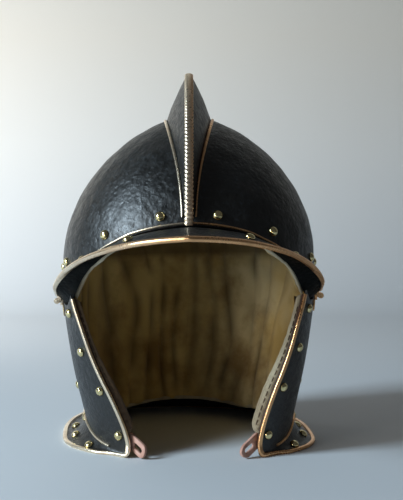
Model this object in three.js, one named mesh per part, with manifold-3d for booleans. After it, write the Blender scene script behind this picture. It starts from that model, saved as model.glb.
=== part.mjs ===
// A burgonet: an open iron helmet with a comb, a fixed peak, two hinged cheek pieces and a flared
// neck guard on which it stands. Millimetres, +Z up, the face opening towards -Y.
// Left and right are the wearer's, so left is +X.
import * as THREE from "three";
import { mergeVertices } from "three/addons/utils/BufferGeometryUtils.js";
import Module from "manifold-3d";

const wasm = await Module();
wasm.setup();

// Driving dimensions of the bowl
const SKULL_WIDTH = 205;
const SKULL_FRONT = 112; // from the middle to the brow, at its widest section
const SKULL_REAR = 118;
const WIDEST_Z = 150;
const CROWN_RISE = 118; // the crown above the widest section
const CROWN_FULLNESS = 0.63; // 0.5 is an ellipse, and more draws the crown to a point

// Plates, gaps and edgings
const SKULL_PLATE = 1.7;
const SMALL_PLATE = 1.4;
const GAP = 0.35;
const PEAK_CLEARANCE = 0.3;
const LINING_THICK = 2.6;
const LEATHER_THICK = 1.8;
const STRIP_WIDTH = 2.2;
const STRIP_RISE = 1;
const EDGING_RADIUS = 1.95;

// The lower part is turned a little on the bowl: sideways shift for each mm forward, at the floor
const TWIST = 0.07;

// The helmet isn't quite true: its left side stands a little higher, except at the floor
const LEAN = 0.02;

// The comb
const COMB_FRONT = 19; // degrees round the middle section, from straight ahead
const COMB_BACK = 203;
const COMB_FOOT_LOW = 3.7; // half the foot's width at the ends
const COMB_FOOT_HIGH = 18;
const COMB_RISE_LOW = 4.5;
const COMB_RISE_HIGH = 31.3;
const COMB_PLATE = 1.5;
const RIDGE_WIDTH = 7;
const RIDGE_THICK = 2.9;
const COMB_STATIONS = 30;

// Hinges of the cheek pieces
const HINGE_X = 106.6;
const HINGE_Z = 119.5;
const HINGE_FRONT = -20;
const HINGE_BACK = 12;
const KNUCKLE_RADIUS = 2.4;
const PIN_RADIUS = 1.1;
const LEAF_HEIGHT = 9;
const LEAF_THICK = 1;

// Heights that the hinge sets
const SKULL_SIDE_Z = HINGE_Z;
const CHEEK_TOP_Z = SKULL_SIDE_Z - 0.6;
const CHEEK_TOP_UNDER_WING = CHEEK_TOP_Z - 1.8;
const CHEEK_CORNER_Z = 125.6; // the front corner reaches up under the peak's wing
const CHEEK_BELOW_EDGE = 7; // below the skull's edge

// The seam between cheek piece and nape, a slanted plane through two heights
const SEAM_TOP = { y: 36, z: SKULL_SIDE_Z };
const SEAM_FOOT = { y: 13, z: 25 };
const SEAM_GAP = 0.6;
const LINING_SEAM_GAP = 4;
const PAD_SEAM_GAP = 3; // the cheek lining swings past the nape
const LINING_NAPE_DROP = 11; // the lining hangs below the nape's foot

// Rivets
const HEAD_RADIUS = 3.75;
const HEAD_RISE = 3;
const SHANK_RADIUS = 1.3;
const RIVET_SIDES = 6;
const HEAD_BEARING = 0.45; // what a head stands off a hollow face

const UPSTAND = 17; // what peak and neck guard carry up behind the skull's edge
const BEND_DROP = 1.6; // the bend of peak and neck guard below the skull's edge
const WING_DROP = 4.8; // and at the peak's wings
const COLUMN_STEP = 7.5; // degrees between the facets of every plate
const PEAK_END = 75;
const PEAK_TRIM_END = 60;
const FLANGE_RIM_Z = EDGING_RADIUS;

// Half width and half lengths of the outline below the widest section
const LOWER_OUTLINE = [
  { key: 0, side: 83, front: 74, rear: 102 },
  { key: 20, side: 85.5, front: 76, rear: 104 },
  { key: 35, side: 88.8, front: 78.5, rear: 106 },
  { key: 60, side: 94.5, front: 83.5, rear: 110 },
  { key: 88, side: 99.3, front: 90, rear: 114 },
  { key: 120, side: 103, front: 99, rear: 117 },
  { key: 150, side: SKULL_WIDTH / 2, front: SKULL_FRONT, rear: SKULL_REAR },
];

// Height of the skull's lower edge, by degrees round from the front
const BROW_EDGE = [
  { key: 0, z: 179 },
  { key: 8, z: 177.8 },
  { key: 16, z: 175.7 },
  { key: 25, z: 171.8 },
  { key: 32, z: 166.5 },
  { key: 38, z: 161.8 },
  { key: 50, z: 151 },
  { key: 56, z: 144 },
  { key: 62, z: 134.5 },
  { key: 67, z: 128 },
  { key: 73, z: 123 },
  { key: 78, z: 120.5 },
  { key: 84, z: SKULL_SIDE_Z },
  { key: 90, z: SKULL_SIDE_Z },
];

// The peak's front edge, by the degrees round at which it leaves the skull
const PEAK_EDGE = [
  { key: 0, x: 0, y: -160, z: 170 },
  { key: 10, x: 21, y: -151, z: 168.6 },
  { key: 20, x: 41.5, y: -137.5, z: 165.8 },
  { key: 33, x: 63, y: -114, z: 160.4 },
  { key: 44, x: 80, y: -88, z: 153.8 },
  { key: 55, x: 95, y: -63, z: 144.2 },
  { key: 66, x: 104.5, y: -41, z: 133.2 },
  { key: 75, x: 105.5, y: -24, z: 125 },
];

// Front edge of the cheek piece, in degrees round, by height
const CHEEK_FRONT = [
  { key: 0, around: 38 },
  { key: 10, around: 37.2 },
  { key: 25, around: 39 },
  { key: 49, around: 44 },
  { key: 66, around: 48.8 },
  { key: 81, around: 52.6 },
  { key: 103, around: 57.2 },
  { key: 120, around: 61.6 },
  { key: 130, around: 64.4 },
];

// The flange: height of its foot on the wall, and the plan of its rim, by degrees round
const FLANGE = [
  { key: 37, base: 3, x: 51.4, y: -60.6 },
  { key: 49, base: 4, x: 65, y: -50 },
  { key: 58, base: 6, x: 76, y: -45.5 },
  { key: 66, base: 8.5, x: 86.5, y: -36 },
  { key: 73, base: 11, x: 94.5, y: -26 },
  { key: 82, base: 15, x: 101.5, y: -9 },
  { key: 100, base: 22, x: 104, y: 22 },
  { key: 117, base: 26, x: 103, y: 52 },
  { key: 135, base: 28.5, x: 95.5, y: 85 },
  { key: 150, base: 30, x: 78, y: 114 },
  { key: 165, base: 31.5, x: 42, y: 132 },
  { key: 180, base: 32, x: 0, y: 138 },
];
const FLARE_POWER = 2.2; // how soon the flange flattens out towards its rim

// Rivets on the skull and the cheek pieces, in degrees round and height
const SKULL_RIVETS = [
  { around: 12.3, z: 185.3, depth: SKULL_PLATE + GAP + SMALL_PLATE, through: "peak" },
  { around: 38, z: 172.8, depth: SKULL_PLATE + GAP + SMALL_PLATE, through: "peak" },
  { around: 68, z: 151.5, depth: SKULL_PLATE },
  { around: 112, z: 143, depth: SKULL_PLATE },
  { around: 150, z: 40, depth: SKULL_PLATE + GAP + SMALL_PLATE, through: "neck_guard" },
];
const CHEEK_RIVETS = [
  { name: "front_1", around: 67, z: 111, depth: SMALL_PLATE },
  { name: "front_2", around: 60, z: 81.2, depth: SMALL_PLATE },
  { name: "front_3", around: 49.8, z: 51.8, depth: SMALL_PLATE },
  { name: "front_4", around: 42.8, z: 16.5, depth: SMALL_PLATE },
  { name: "rear", around: 93, z: 47, depth: SMALL_PLATE },
];
// Rivets on the peak and the flange, in degrees round and share of the way out to the rim
const PEAK_RIVETS = [
  { around: 21.5, out: 0.72 },
  { around: 45.5, out: 0.62 },
];
const CHEEK_FLANGE_RIVETS = [
  { around: 66, out: 0.5 },
  { around: 85, out: 0.5 },
];
const NECK_FLANGE_RIVETS = [{ around: 106, out: 0.62 }];

const SIDES = [
  { name: "left", sign: 1 },
  { name: "right", sign: -1 },
];

// A smooth table: cubic between rows, with slopes from the neighbouring rows
function smoothTable(rows) {
  const last = rows.length - 1;
  const slope = (index, column) => {
    const before = rows[Math.max(index - 1, 0)];
    const after = rows[Math.min(index + 1, last)];
    return (after[column] - before[column]) / (after.key - before.key);
  };
  return (key, column) => {
    const clamped = Math.min(Math.max(key, rows[0].key), rows[last].key);
    let index = 0;
    while (index < last - 1 && rows[index + 1].key < clamped) index += 1;
    const span = rows[index + 1].key - rows[index].key;
    const t = (clamped - rows[index].key) / span;
    const [t2, t3] = [t * t, t * t * t];
    return (
      (2 * t3 - 3 * t2 + 1) * rows[index][column] +
      (t3 - 2 * t2 + t) * span * slope(index, column) +
      (3 * t2 - 2 * t3) * rows[index + 1][column] +
      (t3 - t2) * span * slope(index + 1, column)
    );
  };
}
const lowerOutline = smoothTable(LOWER_OUTLINE);
const browEdge = smoothTable(BROW_EDGE);
const peakEdge = smoothTable(PEAK_EDGE);
const cheekFront = smoothTable(CHEEK_FRONT);
const flange = smoothTable(FLANGE);

const radians = THREE.MathUtils.degToRad;
const lerp = THREE.MathUtils.lerp;
const smoothstep = THREE.MathUtils.smoothstep;

// The outline at a height: half width, and half lengths to the front and the rear
function outlineAt(z) {
  if (z < WIDEST_Z) {
    return {
      side: lowerOutline(z, "side"),
      front: lowerOutline(z, "front"),
      rear: lowerOutline(z, "rear"),
    };
  }
  const climb = Math.min((z - WIDEST_Z) / CROWN_RISE, 1);
  const share = Math.pow(1 - climb * climb, CROWN_FULLNESS);
  return { side: (SKULL_WIDTH / 2) * share, front: SKULL_FRONT * share, rear: SKULL_REAR * share };
}

// How much higher than true a place stands
function leanAt(x, z) {
  return LEAN * x * smoothstep(z, 5, 60);
}

// Moves a point of the true helmet to where this one has it: the lower part turned, one side raised
function settled(point) {
  const share = Math.max(0, (SKULL_SIDE_Z - point.z) / SKULL_SIDE_Z);
  const rise = leanAt(point.x, point.z);
  point.x -= point.y * TWIST * share;
  point.z += rise;
  return point;
}

// A point on the outline, before any offset
function outlinePoint(around, z) {
  const { side, front, rear } = outlineAt(z);
  const angle = radians(around);
  const length = Math.cos(angle) > 0 ? front : rear;
  return settled(new THREE.Vector3(side * Math.sin(angle), -length * Math.cos(angle), z));
}

// The outward normal of a surface given by two parameters
function normalOf(surface, a, b, stepA, stepB) {
  const alongA = surface(a + stepA, b).sub(surface(a - stepA, b));
  const alongB = surface(a, b + stepB).sub(surface(a, b - stepB));
  return alongA.cross(alongB).normalize();
}

// A point on the shell, moved outwards from its outer face by a distance
function shellPoint(around, z, out) {
  const point = outlinePoint(around, z);
  return point.addScaledVector(shellNormal(around, z), out);
}

function shellNormal(around, z) {
  const nearTop = WIDEST_Z + CROWN_RISE - 0.05;
  if (z > nearTop) return new THREE.Vector3(0, 0, 1);
  return normalOf(outlinePoint, around, z, 0.1, 0.02);
}

// Height above the floor as a length along the bowl, and back, so that rows spread evenly over it
function levelOf(z) {
  return z < WIDEST_Z ? z : WIDEST_Z + CROWN_RISE * Math.asin((z - WIDEST_Z) / CROWN_RISE);
}
function heightOf(level) {
  if (level < WIDEST_Z) return level;
  return WIDEST_Z + CROWN_RISE * Math.sin(Math.min((level - WIDEST_Z) / CROWN_RISE, Math.PI / 2));
}

// A closed geometry from points and faces, without the faces that have collapsed
function closedGeometry(points, faces) {
  const loose = new THREE.BufferGeometry().setFromPoints(faces.flat().map((index) => points[index]));
  const merged = mergeVertices(loose, 1e-3);
  const kept = [];
  const index = merged.index.array;
  for (let i = 0; i < index.length; i += 3) {
    const [a, b, c] = [index[i], index[i + 1], index[i + 2]];
    if (a !== b && b !== c && a !== c) kept.push(a, b, c);
  }
  return new THREE.BufferGeometry()
    .setAttribute("position", merged.getAttribute("position"))
    .setIndex(kept);
}

// A plate between two faces that share a grid: face(column, row, outer) gives each corner
function plateGeometry(columns, rows, face, wraps = false) {
  const points = [];
  const place = (column, row, outer) => {
    const at = wraps ? column % columns : column;
    return (at * (rows + 1) + row) * 2 + (outer ? 1 : 0);
  };
  for (let column = 0; column < (wraps ? columns : columns + 1); column += 1) {
    for (let row = 0; row <= rows; row += 1) {
      points.push(face(column, row, false), face(column, row, true));
    }
  }
  const faces = [];
  const quad = (a, b, c, d) => faces.push([a, b, c], [a, c, d]);
  for (let i = 0; i < columns; i += 1) {
    for (let j = 0; j < rows; j += 1) {
      quad(place(i, j, 1), place(i + 1, j, 1), place(i + 1, j + 1, 1), place(i, j + 1, 1));
      quad(place(i, j + 1, 0), place(i + 1, j + 1, 0), place(i + 1, j, 0), place(i, j, 0));
    }
    quad(place(i, 0, 0), place(i + 1, 0, 0), place(i + 1, 0, 1), place(i, 0, 1));
    quad(place(i, rows, 1), place(i + 1, rows, 1), place(i + 1, rows, 0), place(i, rows, 0));
  }
  if (!wraps) {
    for (let j = 0; j < rows; j += 1) {
      quad(place(0, j, 1), place(0, j + 1, 1), place(0, j + 1, 0), place(0, j, 0));
      quad(place(columns, j + 1, 1), place(columns, j, 1), place(columns, j, 0), place(columns, j + 1, 0));
    }
  }
  return closedGeometry(points, faces);
}

// A plate of even thickness about a middle surface that is given on a grid
function thickened(grid, thickness) {
  const columns = grid.length - 1;
  const rows = grid[0].length - 1;
  const normals = grid.map((line, i) =>
    line.map((_, j) => {
      const across = grid[Math.min(i + 1, columns)][j].clone().sub(grid[Math.max(i - 1, 0)][j]);
      const along = grid[i][Math.min(j + 1, rows)].clone().sub(grid[i][Math.max(j - 1, 0)]);
      return across.cross(along).normalize();
    }),
  );
  return plateGeometry(columns, rows, (i, j, outer) =>
    grid[i][j].clone().addScaledVector(normals[i][j], (outer ? 0.5 : -0.5) * thickness),
  );
}

// A section carried along frames, each with a point and two directions
function sweepGeometry(frames, section, closed = false) {
  const ring = section.length;
  const points = frames.flatMap((frame) =>
    section.map(([out, up]) =>
      frame.point.clone().addScaledVector(frame.out, out).addScaledVector(frame.up, up),
    ),
  );
  const faces = [];
  const spans = closed ? frames.length : frames.length - 1;
  for (let i = 0; i < spans; i += 1) {
    const next = (i + 1) % frames.length;
    for (let k = 0; k < ring; k += 1) {
      const beside = (k + 1) % ring;
      const corners = [i * ring + k, i * ring + beside, next * ring + beside, next * ring + k];
      faces.push([corners[0], corners[1], corners[2]], [corners[0], corners[2], corners[3]]);
    }
  }
  if (!closed) {
    const outline = section.map(([out, up]) => new THREE.Vector2(out, up));
    const end = (frames.length - 1) * ring;
    for (const [a, b, c] of THREE.ShapeUtils.triangulateShape(outline, [])) {
      faces.push([a, c, b], [end + a, end + b, end + c]);
    }
  }
  return facingOut(closedGeometry(points, faces));
}

// Turns the faces round where the section was carried the other way
function facingOut(geometry) {
  if (solidOf(geometry, false).volume() >= 0) return geometry;
  const index = geometry.index.array;
  for (let i = 0; i < index.length; i += 3) [index[i], index[i + 1]] = [index[i + 1], index[i]];
  return geometry;
}

// Joins and cuts
function solidOf(geometry, merge = true) {
  let source = geometry;
  if (merge) {
    source = geometry.clone();
    source.deleteAttribute("normal");
    source.deleteAttribute("uv");
    source = mergeVertices(source, 1e-4);
  }
  return new wasm.Manifold(
    new wasm.Mesh({
      numProp: 3,
      vertProperties: new Float32Array(source.getAttribute("position").array),
      triVerts: new Uint32Array(source.index.array),
    }),
  );
}
function geometryOf(solid) {
  const mesh = solid.getMesh();
  const position = new THREE.BufferAttribute(new Float32Array(mesh.vertProperties), mesh.numProp);
  return new THREE.BufferGeometry()
    .setAttribute("position", position)
    .setIndex(new THREE.BufferAttribute(new Uint32Array(mesh.triVerts), 1));
}

// The seam's place at a height
function seamY(z) {
  return lerp(SEAM_FOOT.y, SEAM_TOP.y, (z - SEAM_FOOT.z) / (SEAM_TOP.z - SEAM_FOOT.z));
}

// A block across the whole helmet, ahead of the seam and below a height
function aheadOfSeam(top, shift) {
  const [front, floor] = [-120, -20];
  const outline = new THREE.Shape([
    new THREE.Vector2(front, floor),
    new THREE.Vector2(seamY(floor) + shift, floor),
    new THREE.Vector2(seamY(top) + shift, top),
    new THREE.Vector2(front, top),
  ]);
  const width = 300;
  const block = new THREE.ExtrudeGeometry(outline, { depth: width, bevelEnabled: false });
  const turn = new THREE.Matrix4().makeBasis(
    new THREE.Vector3(0, 1, 0),
    new THREE.Vector3(0, 0, 1),
    new THREE.Vector3(1, 0, 0),
  );
  block.applyMatrix4(turn);
  block.translate(-width / 2, 0, 0);
  const corners = block.getAttribute("position");
  for (let i = 0; i < corners.count; i += 1) {
    corners.setZ(i, corners.getZ(i) + leanAt(corners.getX(i), corners.getZ(i)));
  }
  return solidOf(block);
}

// Rivets: a domed head on a shank
function rivetGeometry(depth) {
  const profile = [
    [0, -depth],
    [SHANK_RADIUS, -depth],
    [SHANK_RADIUS, GAP],
    [HEAD_RADIUS, GAP],
    [HEAD_RADIUS * 0.8, GAP + HEAD_RISE * 0.65],
    [0, GAP + HEAD_RISE],
  ];
  const points = profile.map(([radius, rise]) => new THREE.Vector2(radius, rise));
  return new THREE.LatheGeometry(points, RIVET_SIDES);
}

// Turns a piece made along +Y to stand on a surface at a frame
function standOn(object, frame) {
  object.quaternion.setFromUnitVectors(new THREE.Vector3(0, 1, 0), frame.normal);
  object.position.copy(frame.point);
  object.updateMatrixWorld(true);
  return object;
}

// The plate with a hole for each rivet's shank
function drilled(geometry, frames) {
  const reach = 12;
  let solid = solidOf(geometry);
  for (const frame of frames) {
    const drill = new THREE.CylinderGeometry(SHANK_RADIUS + GAP, SHANK_RADIUS + GAP, reach, RIVET_SIDES);
    const placed = standOn(new THREE.Object3D(), frame);
    drill.applyMatrix4(placed.matrixWorld);
    solid = solid.subtract(solidOf(drill));
  }
  return geometryOf(solid);
}

// Foot of the bowl before it is cut along the seam, by degrees round from -180 to 180: the brow's
// edge, then down behind the cheek pieces to the foot of the flange
const FOOT_LEAVES_EDGE = 75;
const FOOT_MEETS_FLANGE = 97.5;
function bowlFoot(around) {
  const turn = Math.abs(around);
  const share = (turn - FOOT_LEAVES_EDGE) / (FOOT_MEETS_FLANGE - FOOT_LEAVES_EDGE);
  if (share <= 0) return browEdge(turn, "z");
  if (share >= 1) return flange(turn, "base");
  return lerp(browEdge(FOOT_LEAVES_EDGE, "z"), flange(FOOT_MEETS_FLANGE, "base"), share);
}

// A closed bowl that follows the skull at two distances, from its lower edge over the crown
const BOWL_ROWS = 11;
function bowlGeometry(outer, inner, drop) {
  const rows = BOWL_ROWS;
  const columns = 360 / COLUMN_STEP;
  const crown = levelOf(WIDEST_Z + CROWN_RISE);
  return plateGeometry(
    columns,
    rows,
    (column, row, isOuter) => {
      const around = column * COLUMN_STEP - 180;
      const level = lerp(levelOf(bowlFoot(around) - drop(around)), crown, row / rows);
      if (row === rows) {
        return new THREE.Vector3(0, 0, WIDEST_Z + CROWN_RISE + (isOuter ? outer : inner));
      }
      return shellPoint(around, heightOf(level), isOuter ? outer : inner);
    },
    true,
  );
}

// What the skull's edge and its strip leave free for the peak
function roomForPeak() {
  return solidOf(thickened(peakGrid(), SMALL_PLATE + 2 * PEAK_CLEARANCE));
}

function skullGeometry() {
  const bowl = solidOf(bowlGeometry(0, -SKULL_PLATE, () => 0));
  const cut = bowl.subtract(aheadOfSeam(SKULL_SIDE_Z, SEAM_GAP / 2)).subtract(roomForPeak());
  const riveted = SIDES.flatMap(({ sign }) =>
    SKULL_RIVETS.map(({ around, z }) => shellFrame(sign * around, z)),
  );
  return drilled(geometryOf(cut), riveted);
}

function liningDrop(around) {
  return peakDrop(around) + LINING_NAPE_DROP * smoothstep(Math.abs(around), 100, 140);
}
function skullLiningGeometry() {
  const outer = -(SKULL_PLATE + SMALL_PLATE + 2 * GAP + 0.3);
  const bowl = solidOf(bowlGeometry(outer, outer - LINING_THICK, liningDrop));
  return geometryOf(bowl.subtract(aheadOfSeam(SKULL_SIDE_Z - 1, LINING_SEAM_GAP)));
}

function shellFrame(around, z) {
  return { point: shellPoint(around, z, 0), normal: shellNormal(around, z) };
}

// The comb stands on the skull's middle section. A station is an angle round the bowl's middle,
// and reach is the distance from that middle to the skull at a distance beside the section.
function combReach(station, beside) {
  const angle = radians(station);
  const outside = (distance) => {
    const [y, z] = [-distance * Math.cos(angle), WIDEST_Z + distance * Math.sin(angle)];
    if (z >= WIDEST_Z + CROWN_RISE) return true;
    const { side, front, rear } = outlineAt(z);
    return Math.hypot(beside / side, y / (y < 0 ? front : rear)) > 1;
  };
  let [low, high] = [40, 160];
  for (let i = 0; i < 40; i += 1) {
    const middle = (low + high) / 2;
    if (outside(middle)) high = middle;
    else low = middle;
  }
  return low;
}
function combPoint(station, beside, distance) {
  const angle = radians(station);
  return settled(
    new THREE.Vector3(beside, -distance * Math.cos(angle), WIDEST_Z + distance * Math.sin(angle)),
  );
}

// Half width of the comb's foot and its rise: small at brow and nape, greatest at the crown
function combSwell(station) {
  const crown = 90;
  return station < crown
    ? smoothstep(station, COMB_FRONT - 4, crown)
    : 1 - smoothstep(station, crown, COMB_BACK + 4);
}
function combFoot(station) {
  return lerp(COMB_FOOT_LOW, COMB_FOOT_HIGH, combSwell(station));
}
function combTop(station) {
  return combReach(station, 0) + lerp(COMB_RISE_LOW, COMB_RISE_HIGH, combSwell(station));
}
function stations(from, to, count) {
  return Array.from({ length: count + 1 }, (_, i) => lerp(from, to, i / count));
}

// The comb's wedge section: two flanks from the foot to the flat under the ridge strip, hollow below
function combGeometry() {
  const half = RIDGE_WIDTH / 2 - 0.7;
  const rings = stations(COMB_FRONT, COMB_BACK, COMB_STATIONS).map((station) => {
    const foot = combFoot(station);
    const wall = Math.min(COMB_PLATE, foot * 0.45);
    const top = combTop(station);
    const seat = (beside) => combReach(station, beside) + GAP;
    const roof = Math.max(top - 2.4 * COMB_PLATE, seat(0) + 0.4);
    const inner = Math.max(foot - wall, 0.5);
    const roofHalf = Math.min(half * 0.7, inner * 0.8);
    return [
      combPoint(station, foot, seat(foot)),
      combPoint(station, half, top),
      combPoint(station, -half, top),
      combPoint(station, -foot, seat(foot)),
      combPoint(station, -inner, seat(inner)),
      combPoint(station, -roofHalf, roof),
      combPoint(station, roofHalf, roof),
      combPoint(station, inner, seat(inner)),
    ];
  });
  return ringsGeometry(rings);
}

// A solid through rings of matching points, closed at both ends
function ringsGeometry(rings) {
  const ring = rings[0].length;
  const faces = [];
  for (let i = 0; i < rings.length - 1; i += 1) {
    for (let k = 0; k < ring; k += 1) {
      const beside = (k + 1) % ring;
      const corners = [i * ring + k, i * ring + beside, (i + 1) * ring + beside, (i + 1) * ring + k];
      faces.push([corners[0], corners[1], corners[2]], [corners[0], corners[2], corners[3]]);
    }
  }
  const capOf = (points) => {
    const [origin, across, up] = [points[0], points[3], points[1]];
    const u = across.clone().sub(origin).normalize();
    const w = up.clone().sub(origin);
    const v = w.clone().addScaledVector(u, -w.dot(u)).normalize();
    const flat = points.map((p) => {
      const from = p.clone().sub(origin);
      return new THREE.Vector2(from.dot(u), from.dot(v));
    });
    return THREE.ShapeUtils.triangulateShape(flat, []);
  };
  const end = (rings.length - 1) * ring;
  for (const [a, b, c] of capOf(rings[0])) faces.push([a, b, c]);
  for (const [a, b, c] of capOf(rings[rings.length - 1])) faces.push([end + a, end + c, end + b]);
  return facingOut(closedGeometry(rings.flat(), orientedCaps(faces, rings)));
}

// Caps are triangulated without regard to their side, so each is turned to match its ring
function orientedCaps(faces, rings) {
  const ring = rings[0].length;
  const walls = (rings.length - 1) * ring * 2;
  const edges = new Set(faces.slice(0, walls).flatMap(([a, b, c]) => [`${a},${b}`, `${b},${c}`, `${c},${a}`]));
  const clashes = (list) =>
    list.some(([a, b, c]) => [`${a},${b}`, `${b},${c}`, `${c},${a}`].some((edge) => edges.has(edge)));
  const caps = faces.slice(walls);
  const start = caps.slice(0, caps.length / 2);
  const end = caps.slice(caps.length / 2);
  const turned = (list) => (clashes(list) ? list.map(([a, b, c]) => [a, c, b]) : list);
  return [...faces.slice(0, walls), ...turned(start), ...turned(end)];
}

// The ridge strip lies on the comb's flat, a little ahead of and behind it
function combRidgeGeometry() {
  const half = RIDGE_WIDTH / 2;
  const rings = stations(COMB_FRONT - 1, COMB_BACK + 1, COMB_STATIONS).map((station) => {
    const floor = combTop(station) + GAP;
    return [
      combPoint(station, half, floor),
      combPoint(station, half * 0.95, floor + RIDGE_THICK * 0.55),
      combPoint(station, 0, floor + RIDGE_THICK),
      combPoint(station, -half * 0.95, floor + RIDGE_THICK * 0.55),
      combPoint(station, -half, floor),
    ];
  });
  return ringsGeometry(rings);
}

// Frames of a thin strip laid on the skull along a path of points that are given with their normals
function stripFrames(path, closed) {
  return path.map(({ point, normal }, i) => {
    const count = path.length;
    const after = closed ? path[(i + 1) % count] : path[Math.min(i + 1, count - 1)];
    const before = closed ? path[(i + count - 1) % count] : path[Math.max(i - 1, 0)];
    const along = after.point.clone().sub(before.point).normalize();
    return { point, up: normal, out: normal.clone().cross(along).normalize() };
  });
}
const STRIP_SECTION = [
  [-STRIP_WIDTH / 2, GAP + 0.1],
  [STRIP_WIDTH / 2, GAP + 0.1],
  [STRIP_WIDTH * 0.3, GAP + 0.1 + STRIP_RISE],
  [-STRIP_WIDTH * 0.3, GAP + 0.1 + STRIP_RISE],
];

// The strip round the comb's foot goes up one side, round the nape end and back down the other
function combTrimGeometry() {
  const clear = STRIP_WIDTH / 2 + GAP + 0.2;
  const onSkull = (station, beside) => {
    const surface = (a, b) => combPoint(a, b, combReach(a, b));
    const normal = normalOf(surface, station, beside, 0.3, 0.2);
    if (normal.dot(surface(station, beside).sub(new THREE.Vector3(0, 0, WIDEST_Z))) < 0) normal.negate();
    return { point: surface(station, beside), normal };
  };
  const side = stations(COMB_FRONT, COMB_BACK, COMB_STATIONS);
  const ahead = 1.7; // degrees by which the strip passes each end of the comb
  const path = [
    ...side.map((station) => onSkull(station, combFoot(station) + clear)),
    onSkull(COMB_BACK + ahead, combFoot(COMB_BACK) * 0.6),
    onSkull(COMB_BACK + ahead, -combFoot(COMB_BACK) * 0.6),
    ...side.toReversed().map((station) => onSkull(station, -combFoot(station) - clear)),
    onSkull(COMB_FRONT - ahead + 0.4, -combFoot(COMB_FRONT) * 0.6),
    onSkull(COMB_FRONT - ahead + 0.4, combFoot(COMB_FRONT) * 0.6),
  ];
  return sweepGeometry(stripFrames(path, true), STRIP_SECTION, true);
}

// The peak's middle surface: up behind the skull's edge, and from there out to the rim
const PEAK_SEAT = -(SKULL_PLATE + GAP + SMALL_PLATE / 2);
// How far below the skull's edge the bend lies: more at the wings, where the plate climbs outwards
function peakDrop(around) {
  return lerp(BEND_DROP, WING_DROP, smoothstep(Math.abs(around), 30, 60));
}
function peakPoint(around, out) {
  const turn = Math.abs(around);
  const z = browEdge(turn, "z") - peakDrop(turn);
  const root = shellPoint(around, z, PEAK_SEAT);
  const sign = Math.sign(around);
  const rim = settled(
    new THREE.Vector3(sign * peakEdge(turn, "x"), peakEdge(turn, "y"), peakEdge(turn, "z")),
  );
  const arch = 2.2 * Math.sin(Math.PI * out);
  const point = root.lerp(rim, out);
  point.z += arch * Math.cos(radians(turn));
  return point;
}
const PEAK_OUTS = [1, 0.66, 0.33, 0.1, 0];
function peakColumns() {
  return stations(-PEAK_END, PEAK_END, (2 * PEAK_END) / COLUMN_STEP);
}
function peakGrid() {
  const lifts = [5, UPSTAND];
  return peakColumns().map((around) => [
    ...PEAK_OUTS.map((out) => peakPoint(around, out)),
    ...lifts.map((lift) => shellPoint(around, browEdge(Math.abs(around), "z") + lift, PEAK_SEAT)),
  ]);
}
function peakGeometry() {
  const holes = SIDES.flatMap(({ sign }) => [
    ...SKULL_RIVETS.filter((row) => row.through === "peak").map(({ around, z }) =>
      shellFrame(sign * around, z),
    ),
    ...PEAK_RIVETS.map(({ around, out }) => peakFrame(sign * around, out)),
  ]);
  return drilled(thickened(peakGrid(), SMALL_PLATE), holes);
}
function peakFrame(around, out) {
  const normal = normalOf(peakPoint, around, out, 0.5, -0.02);
  return { point: peakPoint(around, out).addScaledVector(normal, SMALL_PLATE / 2), normal };
}

// The channel of brass on a plate's edge: a slot for the edge and a round back
const EDGING_SECTION = [
  [-1.1, SMALL_PLATE / 2 + GAP],
  [GAP, SMALL_PLATE / 2 + GAP],
  [GAP, -SMALL_PLATE / 2 - GAP],
  [-1.1, -SMALL_PLATE / 2 - GAP],
  [-1.1, -EDGING_RADIUS],
  [0.7, -EDGING_RADIUS],
  [EDGING_RADIUS + 0.2, 0],
  [0.7, EDGING_RADIUS],
  [-1.1, EDGING_RADIUS],
];

// Frames along a plate's edge, from the edge's points and the points just inside it
function edgeFrames(edge, inside) {
  return edge.map((point, i) => {
    const along = edge[Math.min(i + 1, edge.length - 1)].clone().sub(edge[Math.max(i - 1, 0)]).normalize();
    const outward = point.clone().sub(inside[i]);
    const out = outward.addScaledVector(along, -outward.dot(along)).normalize();
    return { point, out, up: along.clone().cross(out).normalize() };
  });
}
function peakRimGeometry() {
  const edge = peakColumns().map((around) => peakPoint(around, 1));
  const inside = peakColumns().map((around) => peakPoint(around, PEAK_OUTS[1]));
  return sweepGeometry(edgeFrames(edge, inside), EDGING_SECTION);
}

// A strip on the shell along a line of heights
function shellStripGeometry(turns, heightAt) {
  const path = turns.map((around) => {
    const z = heightAt(around);
    return { point: shellPoint(around, z, 0), normal: shellNormal(around, z) };
  });
  return sweepGeometry(stripFrames(path, false), STRIP_SECTION);
}
function peakTrimGeometry() {
  const steepness = (turn) => (browEdge(turn - 2, "z") - browEdge(turn + 2, "z")) / 7;
  const visible = peakColumns().filter((around) => Math.abs(around) <= PEAK_TRIM_END);
  const strip = shellStripGeometry(visible, (around) => {
    const turn = Math.abs(around);
    return browEdge(turn, "z") + 1.6 * Math.hypot(1, steepness(turn));
  });
  return geometryOf(solidOf(strip).subtract(roomForPeak()));
}

// The flange's middle surface, from a point on the wall out to the rim
function flangePoint(around, out, seat) {
  const turn = Math.abs(around);
  const foot = shellPoint(around, flange(turn, "base"), seat);
  const rim = settled(
    new THREE.Vector3(Math.sign(around) * flange(turn, "x"), flange(turn, "y"), FLANGE_RIM_Z),
  );
  const point = foot.clone().lerp(rim, out);
  point.z = lerp(rim.z, foot.z, Math.pow(1 - out, FLARE_POWER));
  return point;
}
const FLANGE_OUTS = [0, 0.16, 0.36, 0.62, 0.88, 1];

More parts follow.
